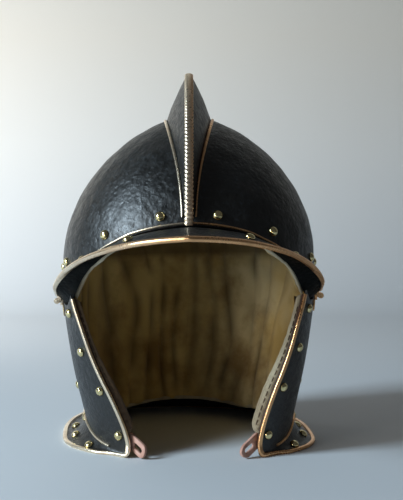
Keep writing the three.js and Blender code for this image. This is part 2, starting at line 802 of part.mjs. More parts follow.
// Degrees round, running on past the nape, so that one side's flange joins the other's
function wrapped(turn) {
  return turn > 180 ? turn - 360 : turn;
}
function neckColumns() {
  const start = 90;
  return stations(start, 360 - start, (360 - 2 * start) / COLUMN_STEP);
}
function neckGuardGeometry() {
  const seat = PEAK_SEAT;
  const grid = neckColumns().map((turn) => {
    const around = wrapped(turn);
    const base = flange(Math.abs(around), "base");
    return [
      ...FLANGE_OUTS.toReversed().map((out) => neckFlangePoint(around, out)),
      ...[4, UPSTAND].map((lift) => shellPoint(around, base + lift, seat)),
    ];
  });
  const plate = solidOf(thickened(grid, SMALL_PLATE));
  const cut = geometryOf(plate.subtract(aheadOfSeam(SKULL_SIDE_Z, SEAM_GAP / 2)));
  const holes = SIDES.flatMap(({ sign }) => [
    ...SKULL_RIVETS.filter((row) => row.through === "neck_guard").map(({ around, z }) =>
      shellFrame(sign * around, z),
    ),
    ...NECK_FLANGE_RIVETS.map(({ around, out }) => neckFlangeFrame(sign * around, out)),
  ]);
  return drilled(cut, holes);
}
function neckFlangePoint(around, out) {
  const point = flangePoint(around, out, PEAK_SEAT);
  point.z -= BEND_DROP * (1 - out);
  return point;
}
function neckFlangeFrame(around, out) {
  return hollowFrame(neckFlangePoint, around, out);
}
// A rivet's frame on a hollow face, where the head's edge bears before its middle
function hollowFrame(surface, around, out) {
  const normal = normalOf(surface, around, out, 0.5, -0.02);
  const lift = SMALL_PLATE / 2 + HEAD_BEARING;
  return { point: surface(around, out).addScaledVector(normal, lift), normal };
}
function flangeRimFrames(turns) {
  const edge = turns.map((around) => flangePoint(around, 1, 0));
  const inside = turns.map((around) => flangePoint(around, 0.97, 0));
  return edgeFrames(edge, inside).map((frame) => {
    const up = new THREE.Vector3(0, 0, Math.sign(frame.up.z));
    const out = frame.out.clone().setZ(0).normalize();
    return { point: frame.point, out, up };
  });
}
function neckRimGeometry() {
  const rim = sweepGeometry(flangeRimFrames(neckColumns().map(wrapped)), EDGING_SECTION);
  return geometryOf(solidOf(rim).subtract(aheadOfSeam(SKULL_SIDE_Z, SEAM_GAP / 2)));
}
function neckTrimGeometry() {
  const strip = shellStripGeometry(
    neckColumns().map(wrapped),
    (around) => flange(Math.abs(around), "base") + 2,
  );
  return geometryOf(solidOf(strip).subtract(aheadOfSeam(SKULL_SIDE_Z, SEAM_GAP / 2)));
}

// The cheek piece: wall and flange in one plate. Columns run from the front edge back past the seam.
const CHEEK_BACK = 117;
const CHEEK_SHARES = stations(0, 1, 12);
const CHEEK_WALL_ROWS = 7;
function cheekTop(turn) {
  const level = lerp(CHEEK_TOP_UNDER_WING, CHEEK_TOP_Z, smoothstep(turn, 76, 80));
  return Math.max(level, browEdge(turn, "z") - CHEEK_BELOW_EDGE);
}
function cheekAround(share, z) {
  return lerp(cheekFront(z, "around"), CHEEK_BACK, share);
}
function cheekFootAround(share) {
  return lerp(FLANGE[0].key, CHEEK_BACK, share);
}
function cheekPoint(sign, share, climb, seat) {
  const footAround = cheekFootAround(share);
  const base = flange(footAround, "base");
  const topAround = lerp(cheekFront(CHEEK_CORNER_Z, "around"), CHEEK_BACK, share);
  const z = lerp(base, cheekTop(topAround), climb);
  const around = lerp(footAround, cheekAround(share, z), smoothstep(climb, 0, 0.12));
  return shellPoint(sign * around, z, seat);
}
function cheekFlangePoint(around, out) {
  return flangePoint(around, out, -SMALL_PLATE / 2);
}
function cheekFlangeFrame(around, out) {
  return hollowFrame(cheekFlangePoint, around, out);
}
function ordered(sign, list) {
  return sign > 0 ? list : list.toReversed();
}
function keptAhead(geometry, top) {
  return geometryOf(solidOf(geometry).intersect(aheadOfSeam(top, -SEAM_GAP / 2)));
}
function cheekGeometry(sign) {
  const grid = ordered(sign, CHEEK_SHARES).map((share) => [
    ...FLANGE_OUTS.slice(1).toReversed().map((out) => cheekFlangePoint(sign * cheekFootAround(share), out)),
    ...stations(0, 1, CHEEK_WALL_ROWS).map((climb) => cheekPoint(sign, share, climb, -SMALL_PLATE / 2)),
  ]);
  const holes = [
    ...CHEEK_RIVETS.map(({ around, z }) => shellFrame(sign * around, z)),
    ...CHEEK_FLANGE_RIVETS.map(({ around, out }) => cheekFlangeFrame(sign * around, out)),
  ];
  return drilled(keptAhead(thickened(grid, SMALL_PLATE), CHEEK_CORNER_Z + 2), holes);
}
function cheekEdgingGeometry(sign) {
  const climbs = [0.97, 0.85, 0.7, 0.55, 0.4, 0.27, 0.16, 0.08, 0.02];
  const seat = -SMALL_PLATE / 2;
  const edge = climbs.map((climb) => cheekPoint(sign, 0, climb, seat));
  const inside = climbs.map((climb) => cheekPoint(sign, CHEEK_SHARES[1], climb, seat));
  return sweepGeometry(edgeFrames(edge, inside), EDGING_SECTION);
}
function cheekRimColumns() {
  return CHEEK_SHARES.slice(2).map(cheekFootAround);
}
function flangeRimGeometry(sign) {
  const turns = cheekRimColumns().map((around) => sign * around);
  const rim = sweepGeometry(flangeRimFrames(turns), EDGING_SECTION);
  return keptAhead(rim, SKULL_SIDE_Z);
}
function flangeTrimGeometry(sign) {
  const strip = shellStripGeometry(
    cheekRimColumns().map((around) => sign * around),
    (around) => flange(Math.abs(around), "base") + 2.6,
  );
  return keptAhead(strip, SKULL_SIDE_Z);
}

// The soft pieces behind the cheek plate, between two distances behind its edge, in degrees
const CHEEK_SOFT_SEAT = -(SMALL_PLATE + GAP + 0.1);
const BAND_START = 1.4;
const BAND_END = 6.2;
const PAD_START = 6.6;
function behindEdge(sign, from, to, thickness, columns, rows, foot) {
  const top = CHEEK_TOP_UNDER_WING - 1.5;
  return plateGeometry(columns, rows, (column, row, outer) => {
    const share = sign > 0 ? column / columns : 1 - column / columns;
    const z = lerp(foot(share), top, row / rows);
    const around = lerp(cheekFront(z, "around") + from, to(z), share);
    return shellPoint(sign * around, z, CHEEK_SOFT_SEAT - (outer ? 0 : thickness));
  });
}
function leatherBandGeometry(sign) {
  const to = (z) => cheekFront(z, "around") + BAND_END;
  return behindEdge(sign, BAND_START, to, LEATHER_THICK, 1, 12, () => 6);
}
function cheekLiningGeometry(sign) {
  const foot = (share) => lerp(8, 22, share);
  const pad = behindEdge(sign, PAD_START, () => CHEEK_BACK, LINING_THICK, 8, 9, foot);
  return geometryOf(solidOf(pad).intersect(aheadOfSeam(SKULL_SIDE_Z, -PAD_SEAM_GAP)));
}

// The slotted leather tab at the cheek's tip, standing on the floor
const TAB_LENGTH = 22;
const TAB_TURN = 8; // degrees by which it points further forward than the plate's edge
const TAB_HEIGHT = 15;
const TAB_THICK = 2.6;
const TAB_SLOT_LENGTH = 10;
const TAB_SLOT_WIDTH = 4.2;
const TAB_CLEARANCE = 1.3; // behind the leather band, at the tab's hidden end
function leatherLoopMesh(sign) {
  const radius = TAB_HEIGHT / 2;
  const outline = new THREE.Shape();
  outline.moveTo(0, 0);
  outline.lineTo(TAB_LENGTH - radius, 0);
  outline.absarc(TAB_LENGTH - radius, radius, radius, -Math.PI / 2, Math.PI / 2, false);
  outline.lineTo(0, TAB_HEIGHT * 0.8);
  outline.closePath();
  const slotEnd = TAB_LENGTH - radius;
  const slotStart = slotEnd - TAB_SLOT_LENGTH + TAB_SLOT_WIDTH;
  const slot = new THREE.Path();
  slot.absarc(slotEnd, radius, TAB_SLOT_WIDTH / 2, -Math.PI / 2, Math.PI / 2, false);
  slot.absarc(slotStart, radius, TAB_SLOT_WIDTH / 2, Math.PI / 2, Math.PI * 1.5, false);
  outline.holes.push(slot);
  const geometry = new THREE.ExtrudeGeometry(outline, {
    depth: TAB_THICK,
    bevelEnabled: false,
    curveSegments: 5,
  });
  const mesh = new THREE.Mesh(geometry, leather);
  const seat = CHEEK_SOFT_SEAT - LEATHER_THICK - TAB_CLEARANCE - TAB_THICK / 2;
  const root = cheekFront(10, "around") + 5.5;
  const [start, end] = [shellPoint(sign * root, 8, seat), shellPoint(sign * (root - 8), 8, seat)];
  const along = end.clone().sub(start).setZ(0).normalize();
  along.applyAxisAngle(new THREE.Vector3(0, 0, 1), sign * radians(TAB_TURN));
  const across = along.clone().cross(new THREE.Vector3(0, 0, 1));
  const turn = new THREE.Matrix4().makeBasis(along, new THREE.Vector3(0, 0, 1), across);
  mesh.quaternion.setFromRotationMatrix(turn);
  mesh.position.copy(start.setZ(0)).addScaledVector(across, -TAB_THICK / 2);
  return mesh;
}

// Hinges: flat leaves outside the plates, knuckles round the pin, the pin fixed in the upper ones
function hingeBlock(sign, [outFrom, outTo], [yFrom, yTo], [zFrom, zTo]) {
  const block = new THREE.BoxGeometry(outTo - outFrom, yTo - yFrom, zTo - zFrom);
  const height = (zFrom + zTo) / 2 + leanAt(sign * HINGE_X, HINGE_Z);
  block.translate((sign * (outFrom + outTo)) / 2, (yFrom + yTo) / 2, height);
  return solidOf(block);
}
function barrel(sign, [from, to], radius) {
  const cylinder = new THREE.CylinderGeometry(radius, radius, to - from, 8);
  cylinder.translate(0, (from + to) / 2, 0);
  cylinder.translate(sign * HINGE_X, 0, HINGE_Z + leanAt(sign * HINGE_X, HINGE_Z));
  return solidOf(cylinder);
}
const HINGE_THIRD = (HINGE_BACK - HINGE_FRONT) / 3;
const HINGE_ENDS = [
  [HINGE_FRONT, HINGE_FRONT + HINGE_THIRD],
  [HINGE_BACK - HINGE_THIRD, HINGE_BACK],
];
const HINGE_MIDDLE = [HINGE_FRONT + HINGE_THIRD + GAP, HINGE_BACK - HINGE_THIRD - GAP];
const LEAF_SPAN = [HINGE_X - KNUCKLE_RADIUS - LEAF_THICK + 0.2, HINGE_X - KNUCKLE_RADIUS + 0.2];
const TONGUE_SPAN = [LEAF_SPAN[0], HINGE_X - 1.4];
const LEAF_START = KNUCKLE_RADIUS + 1; // from the pin's height
function hingeUpperGeometry(sign) {
  const low = HINGE_Z + LEAF_START;
  let solid = hingeBlock(sign, LEAF_SPAN, [HINGE_FRONT, HINGE_BACK], [low, low + LEAF_HEIGHT]);
  for (const end of HINGE_ENDS) {
    solid = solid.add(barrel(sign, end, KNUCKLE_RADIUS));
    solid = solid.add(hingeBlock(sign, TONGUE_SPAN, end, [HINGE_Z, low + 1]));
  }
  return geometryOf(solid.add(barrel(sign, [HINGE_FRONT, HINGE_BACK], PIN_RADIUS)));
}
function hingeLowerGeometry(sign) {
  const high = HINGE_Z - LEAF_START;
  let solid = hingeBlock(sign, LEAF_SPAN, [HINGE_FRONT, HINGE_BACK], [high - LEAF_HEIGHT, high]);
  solid = solid.add(barrel(sign, HINGE_MIDDLE, KNUCKLE_RADIUS));
  solid = solid.add(hingeBlock(sign, TONGUE_SPAN, HINGE_MIDDLE, [high - 1, HINGE_Z]));
  const bore = barrel(sign, [HINGE_FRONT - 1, HINGE_BACK + 1], PIN_RADIUS + GAP);
  return geometryOf(solid.subtract(bore));
}

// Materials
function finish(color, roughness, metalness) {
  return new THREE.MeshStandardMaterial({ color, roughness, metalness, flatShading: true });
}
const blackIron = finish(0x15171b, 0.6, 0.5);
const brass = finish(0xb98a54, 0.35, 0.9);
const rivetBrass = finish(0xb9a552, 0.25, 0.95);
const linen = finish(0x8c8560, 0.95, 0);
const leather = finish(0xb08a78, 0.75, 0);
const darkLeather = finish(0x3a2c26, 0.8, 0);

// The helmet as a tree: what is fixed, and one group for each cheek piece
const helmet = new THREE.Group();
const fixed = new THREE.Group();
helmet.add(fixed);

function add(parent, name, geometry, material) {
  const mesh = new THREE.Mesh(geometry, material);
  mesh.name = name;
  parent.add(mesh);
  return mesh;
}
function addRivet(parent, name, frame, depth) {
  return standOn(add(parent, name, rivetGeometry(depth), rivetBrass), frame);
}

add(fixed, "skull", skullGeometry(), blackIron);
add(fixed, "skull_lining", skullLiningGeometry(), linen);
add(fixed, "comb", combGeometry(), blackIron);
add(fixed, "comb_ridge", combRidgeGeometry(), brass);
add(fixed, "comb_trim", combTrimGeometry(), brass);
add(fixed, "peak", peakGeometry(), blackIron);
add(fixed, "peak_rim", peakRimGeometry(), brass);
add(fixed, "peak_trim", peakTrimGeometry(), brass);
add(fixed, "neck_guard", neckGuardGeometry(), blackIron);
add(fixed, "neck_rim", neckRimGeometry(), brass);
add(fixed, "neck_trim", neckTrimGeometry(), brass);

for (const { name: side, sign } of SIDES) {
  add(fixed, `hinge_upper_${side}`, hingeUpperGeometry(sign), brass);
  SKULL_RIVETS.forEach(({ around, z, depth }, i) => {
    addRivet(fixed, `rivet_skull_${side}_${i + 1}`, shellFrame(sign * around, z), depth);
  });
  PEAK_RIVETS.forEach(({ around, out }, i) => {
    addRivet(fixed, `rivet_peak_${side}_${i + 1}`, peakFrame(sign * around, out), SMALL_PLATE);
  });
  NECK_FLANGE_RIVETS.forEach(({ around, out }, i) => {
    const frame = neckFlangeFrame(sign * around, out);
    addRivet(fixed, `rivet_neck_${side}_${i + 1}`, frame, SMALL_PLATE);
  });

  const cheek = new THREE.Group();
  helmet.add(cheek);
  add(cheek, `cheek_${side}`, cheekGeometry(sign), blackIron);
  add(cheek, `cheek_edging_${side}`, cheekEdgingGeometry(sign), brass);
  add(cheek, `flange_rim_${side}`, flangeRimGeometry(sign), brass);
  add(cheek, `flange_trim_${side}`, flangeTrimGeometry(sign), brass);
  add(cheek, `leather_band_${side}`, leatherBandGeometry(sign), darkLeather);
  add(cheek, `cheek_lining_${side}`, cheekLiningGeometry(sign), linen);
  add(cheek, `hinge_lower_${side}`, hingeLowerGeometry(sign), brass);
  const tab = leatherLoopMesh(sign);
  tab.name = `leather_loop_${side}`;
  cheek.add(tab);
  for (const { name, around, z, depth } of CHEEK_RIVETS) {
    addRivet(cheek, `rivet_cheek_${side}_${name}`, shellFrame(sign * around, z), depth);
  }
  CHEEK_FLANGE_RIVETS.forEach(({ around, out }, i) => {
    const frame = cheekFlangeFrame(sign * around, out);
    addRivet(cheek, `rivet_flange_${side}_${i + 1}`, frame, SMALL_PLATE);
  });
}

// The middle of the box round the helmet stands over the origin, and its lowest point on the ground
const bounds = new THREE.Box3().setFromObject(helmet);
const middle = bounds.getCenter(new THREE.Vector3());
helmet.position.set(-middle.x, -middle.y, -bounds.min.z);

export default helmet;
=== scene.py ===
import math

import bmesh
import bpy
import numpy as np
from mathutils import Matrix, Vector


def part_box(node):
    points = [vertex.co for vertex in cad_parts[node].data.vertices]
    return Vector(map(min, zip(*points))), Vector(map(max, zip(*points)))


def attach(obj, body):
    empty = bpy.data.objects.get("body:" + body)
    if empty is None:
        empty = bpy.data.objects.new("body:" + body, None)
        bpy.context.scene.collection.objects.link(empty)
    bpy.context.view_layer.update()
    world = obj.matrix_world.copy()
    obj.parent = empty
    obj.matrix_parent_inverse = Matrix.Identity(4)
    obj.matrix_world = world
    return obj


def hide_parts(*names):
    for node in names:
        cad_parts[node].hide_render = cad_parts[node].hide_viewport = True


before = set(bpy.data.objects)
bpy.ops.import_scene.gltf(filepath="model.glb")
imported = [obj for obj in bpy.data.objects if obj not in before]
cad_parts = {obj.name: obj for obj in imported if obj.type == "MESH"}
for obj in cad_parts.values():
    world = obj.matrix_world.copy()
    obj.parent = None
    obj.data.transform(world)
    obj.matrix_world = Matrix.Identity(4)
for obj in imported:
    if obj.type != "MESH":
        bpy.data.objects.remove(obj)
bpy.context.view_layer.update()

MM = 0.001

# Driving dimensions of the bowl
SKULL_WIDTH = 205.0
SKULL_FRONT = 112.0
SKULL_REAR = 118.0
WIDEST_Z = 150.0
CROWN_RISE = 118.0
CROWN_Z = WIDEST_Z + CROWN_RISE
CROWN_FULLNESS = 0.63
TWIST = 0.07
LEAN = 0.02

# Plates, gaps and edgings
SKULL_PLATE = 1.7
SMALL_PLATE = 1.4
GAP = 0.35
LINING_THICK = 2.6
LEATHER_THICK = 1.8
EDGING_RADIUS = 1.95
CHEEK_EDGING_RADIUS = 1.35

# The comb, by degrees round the middle section
COMB_FRONT = 19.0
COMB_BACK = 203.0
COMB_FOOT_LOW = 3.7
COMB_FOOT_HIGH = 18.0
COMB_RISE_LOW = 4.5
COMB_RISE_HIGH = 31.3
COMB_PLATE = 1.5
COMB_RIDGE_HALF = 2.8
COMB_BELLY = 0.05

# Hinges and the seam between cheek piece and nape
HINGE_X = 106.6
HINGE_Z = 119.5
HINGE_FRONT = -20.0
HINGE_BACK = 12.0
KNUCKLE_RADIUS = 2.4
PIN_RADIUS = 1.1
LEAF_HEIGHT = 9.0
LEAF_CLEAR = 3.0
PIN_SHOWS = 0.6
TONGUE_X = (103.3, 105.2)
SKULL_SIDE_Z = HINGE_Z
CHEEK_TOP_Z = SKULL_SIDE_Z - 0.6
CHEEK_TOP_UNDER_WING = CHEEK_TOP_Z - 1.8
CHEEK_CORNER_Z = 125.6
CHEEK_BELOW_EDGE = 7.0
CHEEK_TOP_REAR = 108.0
SEAM_TOP = (36.0, SKULL_SIDE_Z)
SEAM_FOOT = (13.0, 25.0)
SEAM_GAP = 0.6
PEAK_SEAT = -(SKULL_PLATE + GAP + SMALL_PLATE / 2)
CHEEK_SEAT = -SMALL_PLATE / 2
SOFT_SEAT = -(SMALL_PLATE + GAP + 0.1)
PEAK_END = 75.0
BEND_DROP = 1.6
WING_DROP = 4.8
PEAK_ARCH = 2.2
PEAK_TRIM_END = 64.0
FLARE_POWER = 2.2

# Where the helmet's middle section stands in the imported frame
SHIFT_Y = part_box("hinge_upper_left")[1][1] / MM - HINGE_BACK

SIDES = (("left", 1.0), ("right", -1.0))


def smooth_table(columns, *rows):
    """A table read anywhere: cubic between rows, with slopes from the neighbouring rows."""
    data = {name: np.array([row[i] for row in rows], float) for i, name in enumerate(columns)}
    keys = data[columns[0]]
    last = len(keys) - 1
    before = np.maximum(np.arange(last + 1) - 1, 0)
    after = np.minimum(np.arange(last + 1) + 1, last)

    def read(key, name):
        values = data[name]
        slopes = (values[after] - values[before]) / (keys[after] - keys[before])
        clamped = np.clip(key, keys[0], keys[-1])
        low = np.clip(np.searchsorted(keys, clamped) - 1, 0, last - 1)
        span = keys[low + 1] - keys[low]
        t = (clamped - keys[low]) / span
        ends = (2 * t**3 - 3 * t**2 + 1) * values[low] + (3 * t**2 - 2 * t**3) * values[low + 1]
        bends = (t**3 - 2 * t**2 + t) * slopes[low] + (t**3 - t**2) * slopes[low + 1]
        return ends + span * bends

    return read


# Half width and half lengths of the outline below the widest section
lower_outline = smooth_table(
    ("z", "side", "front", "rear"),
    (0, 83, 74, 102),
    (20, 85.5, 76, 104),
    (35, 88.8, 78.5, 106),
    (60, 94.5, 83.5, 110),
    (88, 99.3, 90, 114),
    (120, 103, 99, 117),
    (150, SKULL_WIDTH / 2, SKULL_FRONT, SKULL_REAR),
)

# Height of the skull's lower edge, by degrees round from the front
brow_edge = smooth_table(
    ("around", "z"),
    (0, 179),
    (8, 177.8),
    (16, 175.7),
    (25, 171.8),
    (32, 166.5),
    (38, 161.8),
    (50, 151),
    (56, 144),
    (62, 134.5),
    (67, 128),
    (73, 123),
    (78, 120.5),
    (84, SKULL_SIDE_Z),
    (90, SKULL_SIDE_Z),
)

# The peak's front edge, by the degrees round at which it leaves the skull
peak_edge = smooth_table(
    ("around", "x", "y", "z"),
    (0, 0, -160, 170),
    (10, 21, -151, 168.6),
    (20, 41.5, -137.5, 165.8),
    (33, 63, -114, 160.4),
    (44, 80, -88, 153.8),
    (55, 95, -63, 144.2),
    (66, 104.5, -41, 133.2),
    (75, 105.5, -24, 125),
)

# Front edge of the cheek piece, in degrees round, by height
cheek_front = smooth_table(
    ("z", "around"),
    (0, 38),
    (10, 37.2),
    (25, 39),
    (49, 44),
    (66, 48.8),
    (81, 52.6),
    (103, 57.2),
    (120, 61.6),
    (130, 64.4),
)

# The flange: height of its foot on the wall, and the plan of its rim, by degrees round
flange = smooth_table(
    ("around", "base", "x", "y"),
    (37, 3, 51.4, -60.6),
    (49, 4, 65, -50),
    (58, 6, 76, -45.5),
    (66, 8.5, 86.5, -36),
    (73, 11, 94.5, -26),
    (82, 15, 101.5, -9),
    (100, 22, 104, 22),
    (117, 26, 103, 52),
    (135, 28.5, 95.5, 85),
    (150, 30, 78, 114),
    (165, 31.5, 42, 132),
    (180, 32, 0, 138),
)
FLANGE_START = 37.0


def lerp(a, b, t):
    """From a to b in a straight line, as t goes from 0 to 1."""
    return a + (b - a) * t


def smoothstep(x, low, high):
    """0 below low, 1 above high, and an S-shaped cubic between."""
    t = np.clip((x - low) / (high - low), 0, 1)
    return t * t * (3 - 2 * t)


def unit(vectors):
    """Vectors scaled to length one, along the last axis."""
    return vectors / np.maximum(np.linalg.norm(vectors, axis=-1, keepdims=True), 1e-12)


def stack(x, y, z):
    """Points from their x, y and z, each a number or a grid."""
    return np.stack(np.broadcast_arrays(np.asarray(x, float), y, z), axis=-1)


def lengths_of(points):
    """The length of a path up to each of its points."""
    return np.concatenate([[0], np.cumsum(np.linalg.norm(np.diff(points, axis=0), axis=1))])


def angles_round(count):
    """The angles of one full turn, its end left out."""
    return np.linspace(0, 2 * math.pi, count + 1)[:-1]


def across(count, start=0.0, end=1.0):
    """Even steps from one number to another, along a grid's rows."""
    return np.linspace(start, end, count)[None, :]


def down(count, start=0.0, end=1.0):
    """Even steps from one number to another, from row to row of a grid."""
    return np.linspace(start, end, count)[:, None]


def halved(holds, low, high, times):
    """The last place between two at which a condition holds, by halving the interval."""
    for _ in range(times):
        middle = (low + high) / 2
        held = holds(middle)
        low, high = np.where(held, middle, low), np.where(held, high, middle)
    return low


# The shell of the helmet

def outline(z):
    """Half width and half lengths at a height: from the table, and on a blunt ellipse above it."""
    climb = np.clip((z - WIDEST_Z) / CROWN_RISE, 0, 1)
    share = np.maximum(1 - climb * climb, 0) ** CROWN_FULLNESS
    above = z >= WIDEST_Z
    side = np.where(above, SKULL_WIDTH / 2 * share, lower_outline(z, "side"))
    front = np.where(above, SKULL_FRONT * share, lower_outline(z, "front"))
    rear = np.where(above, SKULL_REAR * share, lower_outline(z, "rear"))
    return side, front, rear


def lean_at(x, z):
    """How much higher a place stands for the lean: the wearer's left side is the higher one."""
    return LEAN * x * smoothstep(z, 5, 60)


def settled(points):
    """Points of the true helmet moved to where this one has them: lower part turned, one side raised."""
    x, y, z = points[..., 0], points[..., 1], points[..., 2]
    share = np.maximum(0, (SKULL_SIDE_Z - z) / SKULL_SIDE_Z)
    return stack(x - y * TWIST * share, y, z + lean_at(x, z))


def outline_point(around, z):
    """A place on the shell: on an ellipse at each height, longer or shorter ahead than behind."""
    side, front, rear = outline(z)
    angle = np.radians(around)
    length = np.where(np.cos(angle) > 0, front, rear)
    return settled(stack(side * np.sin(angle), -length * np.cos(angle), z))


def normal_of(face, a, b, step_a, step_b):
    """The normal of face(a, b): the cross product of its slopes by central differences."""
    along_a = face(a + step_a, b) - face(a - step_a, b)
    along_b = face(a, b + step_b) - face(a, b - step_b)
    return unit(np.cross(along_a, along_b))


def shell_normal(around, z):
    """The shell's own normal, and straight up at the crown, where the degrees round run together."""
    normal = normal_of(outline_point, around, z, 0.1, 0.02)
    near_top = (z > CROWN_Z - 0.05) * np.ones_like(around)
    return np.where(near_top[..., None] > 0, np.array([0.0, 0.0, 1.0]), normal)


def shell_point(around, z, out):
    """A place on the shell, moved out along its normal."""
    around, z = np.broadcast_arrays(np.asarray(around, float), np.asarray(z, float))
    return outline_point(around, z) + shell_normal(around, z) * np.asarray(out, float)[..., None]


def on_shell(around, z, out):
    """Places at a distance outside the shell, and the shell's normals there."""
    return shell_point(around, z, out), shell_normal(around, z)


def level_of(z):
    """Height as a length along the bowl, so that rows spread evenly over it."""
    climb = np.clip((z - WIDEST_Z) / CROWN_RISE, 0, 1)
    return np.where(z < WIDEST_Z, z, WIDEST_Z + CROWN_RISE * np.arcsin(climb))


def height_of(level):
    """The height at such a length along the bowl."""
    angle = np.clip((level - WIDEST_Z) / CROWN_RISE, 0, math.pi / 2)
    return np.where(level < WIDEST_Z, level, WIDEST_Z + CROWN_RISE * np.sin(angle))


def seam_y(z):
    """How far back the seam lies at a height: a straight line from its foot to its top."""
    share = (z - SEAM_FOOT[1]) / (SEAM_TOP[1] - SEAM_FOOT[1])
    return lerp(SEAM_FOOT[0], SEAM_TOP[0], share)


def seam_around(z, shift):
    """Degrees round at which the seam crosses the wall at a height."""
    rear = outline(z)[2]
    return 90 + np.degrees(np.arcsin((seam_y(z) + shift) / rear))


def waves(points, seed, length, count=28):
    """A smooth random field from -1 to 1: many plane waves in random directions, about one length long."""
    random = np.random.default_rng(seed)
    directions = unit(random.normal(size=(count, 3)))
    lengths = length * random.uniform(0.7, 1.6, count)
    phases = random.uniform(0, 2 * math.pi, count)
    total = np.zeros(points.shape[:-1])
    for direction, wave, phase in zip(directions, lengths, phases):
        total += np.sin(points @ direction * (2 * math.pi / wave) + phase)
    return total / math.sqrt(count / 2) / 2


def dented(points, normals, depth, length, seed):
    """A hammered face: each point moved along its normal by a smooth random field."""
    return points + normals * (depth * waves(points, seed, length))[..., None]


# Meshes from arrays

def grid_faces(rows, columns, around=False, start=0):
    """Quads of a grid of rows by columns, whose last column may join its first."""
    i = np.arange(rows - 1)[:, None]
    j = np.arange(columns if around else columns - 1)[None, :]
    k = (j + 1) % columns
    quads = np.stack(np.broadcast_arrays(i * columns + j, i * columns + k,
                                         (i + 1) * columns + k, (i + 1) * columns + j), axis=-1)
    return (quads.reshape(-1, 4) + start).tolist()


class Mesh:
    """Vertices in millimetres, faces and (u, v) pairs gathered from patches."""

    def __init__(self):
        self.points = []
        self.faces = []
        self.uvs = []
        self.shades = []
        self.count = 0

    def add(self, points, faces, uvs=None, shade=None):
        points = np.asarray(points, float).reshape(-1, 3)
        uvs = np.zeros((len(points), 2)) if uvs is None else np.asarray(uvs, float).reshape(-1, 2)
        self.points.append(points)
        self.uvs.append(uvs)
        self.shades.append(np.zeros(len(points)) if shade is None else np.asarray(shade, float).ravel())
        self.faces += [[v + self.count for v in face] for face in faces]
        self.count += len(points)
        return self

    def grid(self, points, uvs=None, around=False, shade=None):
        rows, columns = points.shape[:2]
        return self.add(points, grid_faces(rows, columns, around), uvs, shade)

    def sweep(self, points, out, up, section):
        """A section of (out, up) pairs carried along points that have an out and an up direction."""
        section = np.asarray(section, float)
        if section.ndim == 2:
            section = np.broadcast_to(section, (len(points),) + section.shape)
        rings = points[:, None] + section[..., :1] * out[:, None] + section[..., 1:] * up[:, None]
        count, ring = rings.shape[:2]
        uvs = stack(lengths_of(points)[:, None], np.arange(ring)[None, :], 0.0)[..., :2]
        caps = [list(range(ring))[::-1], [(count - 1) * ring + k for k in range(ring)]]
        return self.add(rings, grid_faces(count, ring, True) + caps, uvs)


def build(name, mesh, body, finish, replaces=(), thickness=0.0, offset=-1.0, sharp=40.0):
    """Puts a mesh down as a piece: merged, closed with a wall if asked, facing out, riding on its body."""
    data = bpy.data.meshes.new(name)
    points = np.concatenate(mesh.points) + np.array([0.0, SHIFT_Y, 0.0])
    data.from_pydata((points * MM).tolist(), [], mesh.faces)
    uvs = np.concatenate(mesh.uvs)
    corners = np.empty(len(data.loops), dtype=np.int32)
    data.loops.foreach_get("vertex_index", corners)
    layer = data.uv_layers.new(name="UVMap")
    layer.data.foreach_set("uv", (uvs[corners] * MM).ravel())
    # The second map carries each point's painted shade
    shades = np.concatenate(mesh.shades)[corners]
    layer = data.uv_layers.new(name="shade")
    layer.data.foreach_set("uv", np.stack([shades, shades], axis=-1).ravel())
    work = bmesh.new()
    work.from_mesh(data)
    bmesh.ops.remove_doubles(work, verts=work.verts, dist=1e-6)
    bmesh.ops.dissolve_degenerate(work, edges=work.edges, dist=1e-7)
    bmesh.ops.recalc_face_normals(work, faces=work.faces)
    work.to_mesh(data)
    work.free()
    piece = bpy.data.objects.new(name, data)
    bpy.context.scene.collection.objects.link(piece)
    if thickness:
        wall = piece.modifiers.new("wall", "SOLIDIFY")
        wall.thickness = thickness * MM
        wall.offset = offset
        wall.use_even_offset = True
        apply_modifiers(piece)
    piece.data.shade_smooth()
    piece.data.set_sharp_from_angle(angle=math.radians(sharp))
    piece.data.materials.clear()
    piece.data.materials.append(FINISHES[finish])
    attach(piece, body)
    if replaces:
        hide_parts(*replaces)
    return piece


def apply_modifiers(piece):
    graph = bpy.context.evaluated_depsgraph_get()
    piece.data = bpy.data.meshes.new_from_object(piece.evaluated_get(graph))
    piece.modifiers.clear()


# Camera

# The photograph's frame and where the camera stood, worked out from the helmet's own proportions
IMAGE_HEIGHT = 500.0
FOCAL = 924.0  # in pixels of the frame
CAMERA_DISTANCE = 764.0
CAMERA_HEIGHT = 181.0
MIDDLE_COLUMN = 189.0
HORIZON_ROW = 222.0
IMAGE_CENTRE = (201.5, 250.0)
SENSOR = 36.0


def set_camera():
    """A level camera in front of the helmet, turned a little right and down so that its middle falls
    on the photograph's column and the eye's height on its row."""
    pan = math.atan((IMAGE_CENTRE[0] - MIDDLE_COLUMN) / FOCAL)
    pitch = math.atan((IMAGE_CENTRE[1] - HORIZON_ROW) / FOCAL)
    data = bpy.data.cameras.new("camera")
    data.sensor_fit = "AUTO"
    data.sensor_width = SENSOR
    data.lens = FOCAL / IMAGE_HEIGHT * SENSOR
    data.clip_start = 0.01
    camera = bpy.data.objects.new("camera", data)
    camera.location = (0.0, (SHIFT_Y - CAMERA_DISTANCE) * MM, CAMERA_HEIGHT * MM)
    camera.rotation_euler = (math.pi / 2 - pitch, 0.0, -pan)
    bpy.context.scene.collection.objects.link(camera)
    bpy.context.scene.camera = camera


set_camera()


# Finishes

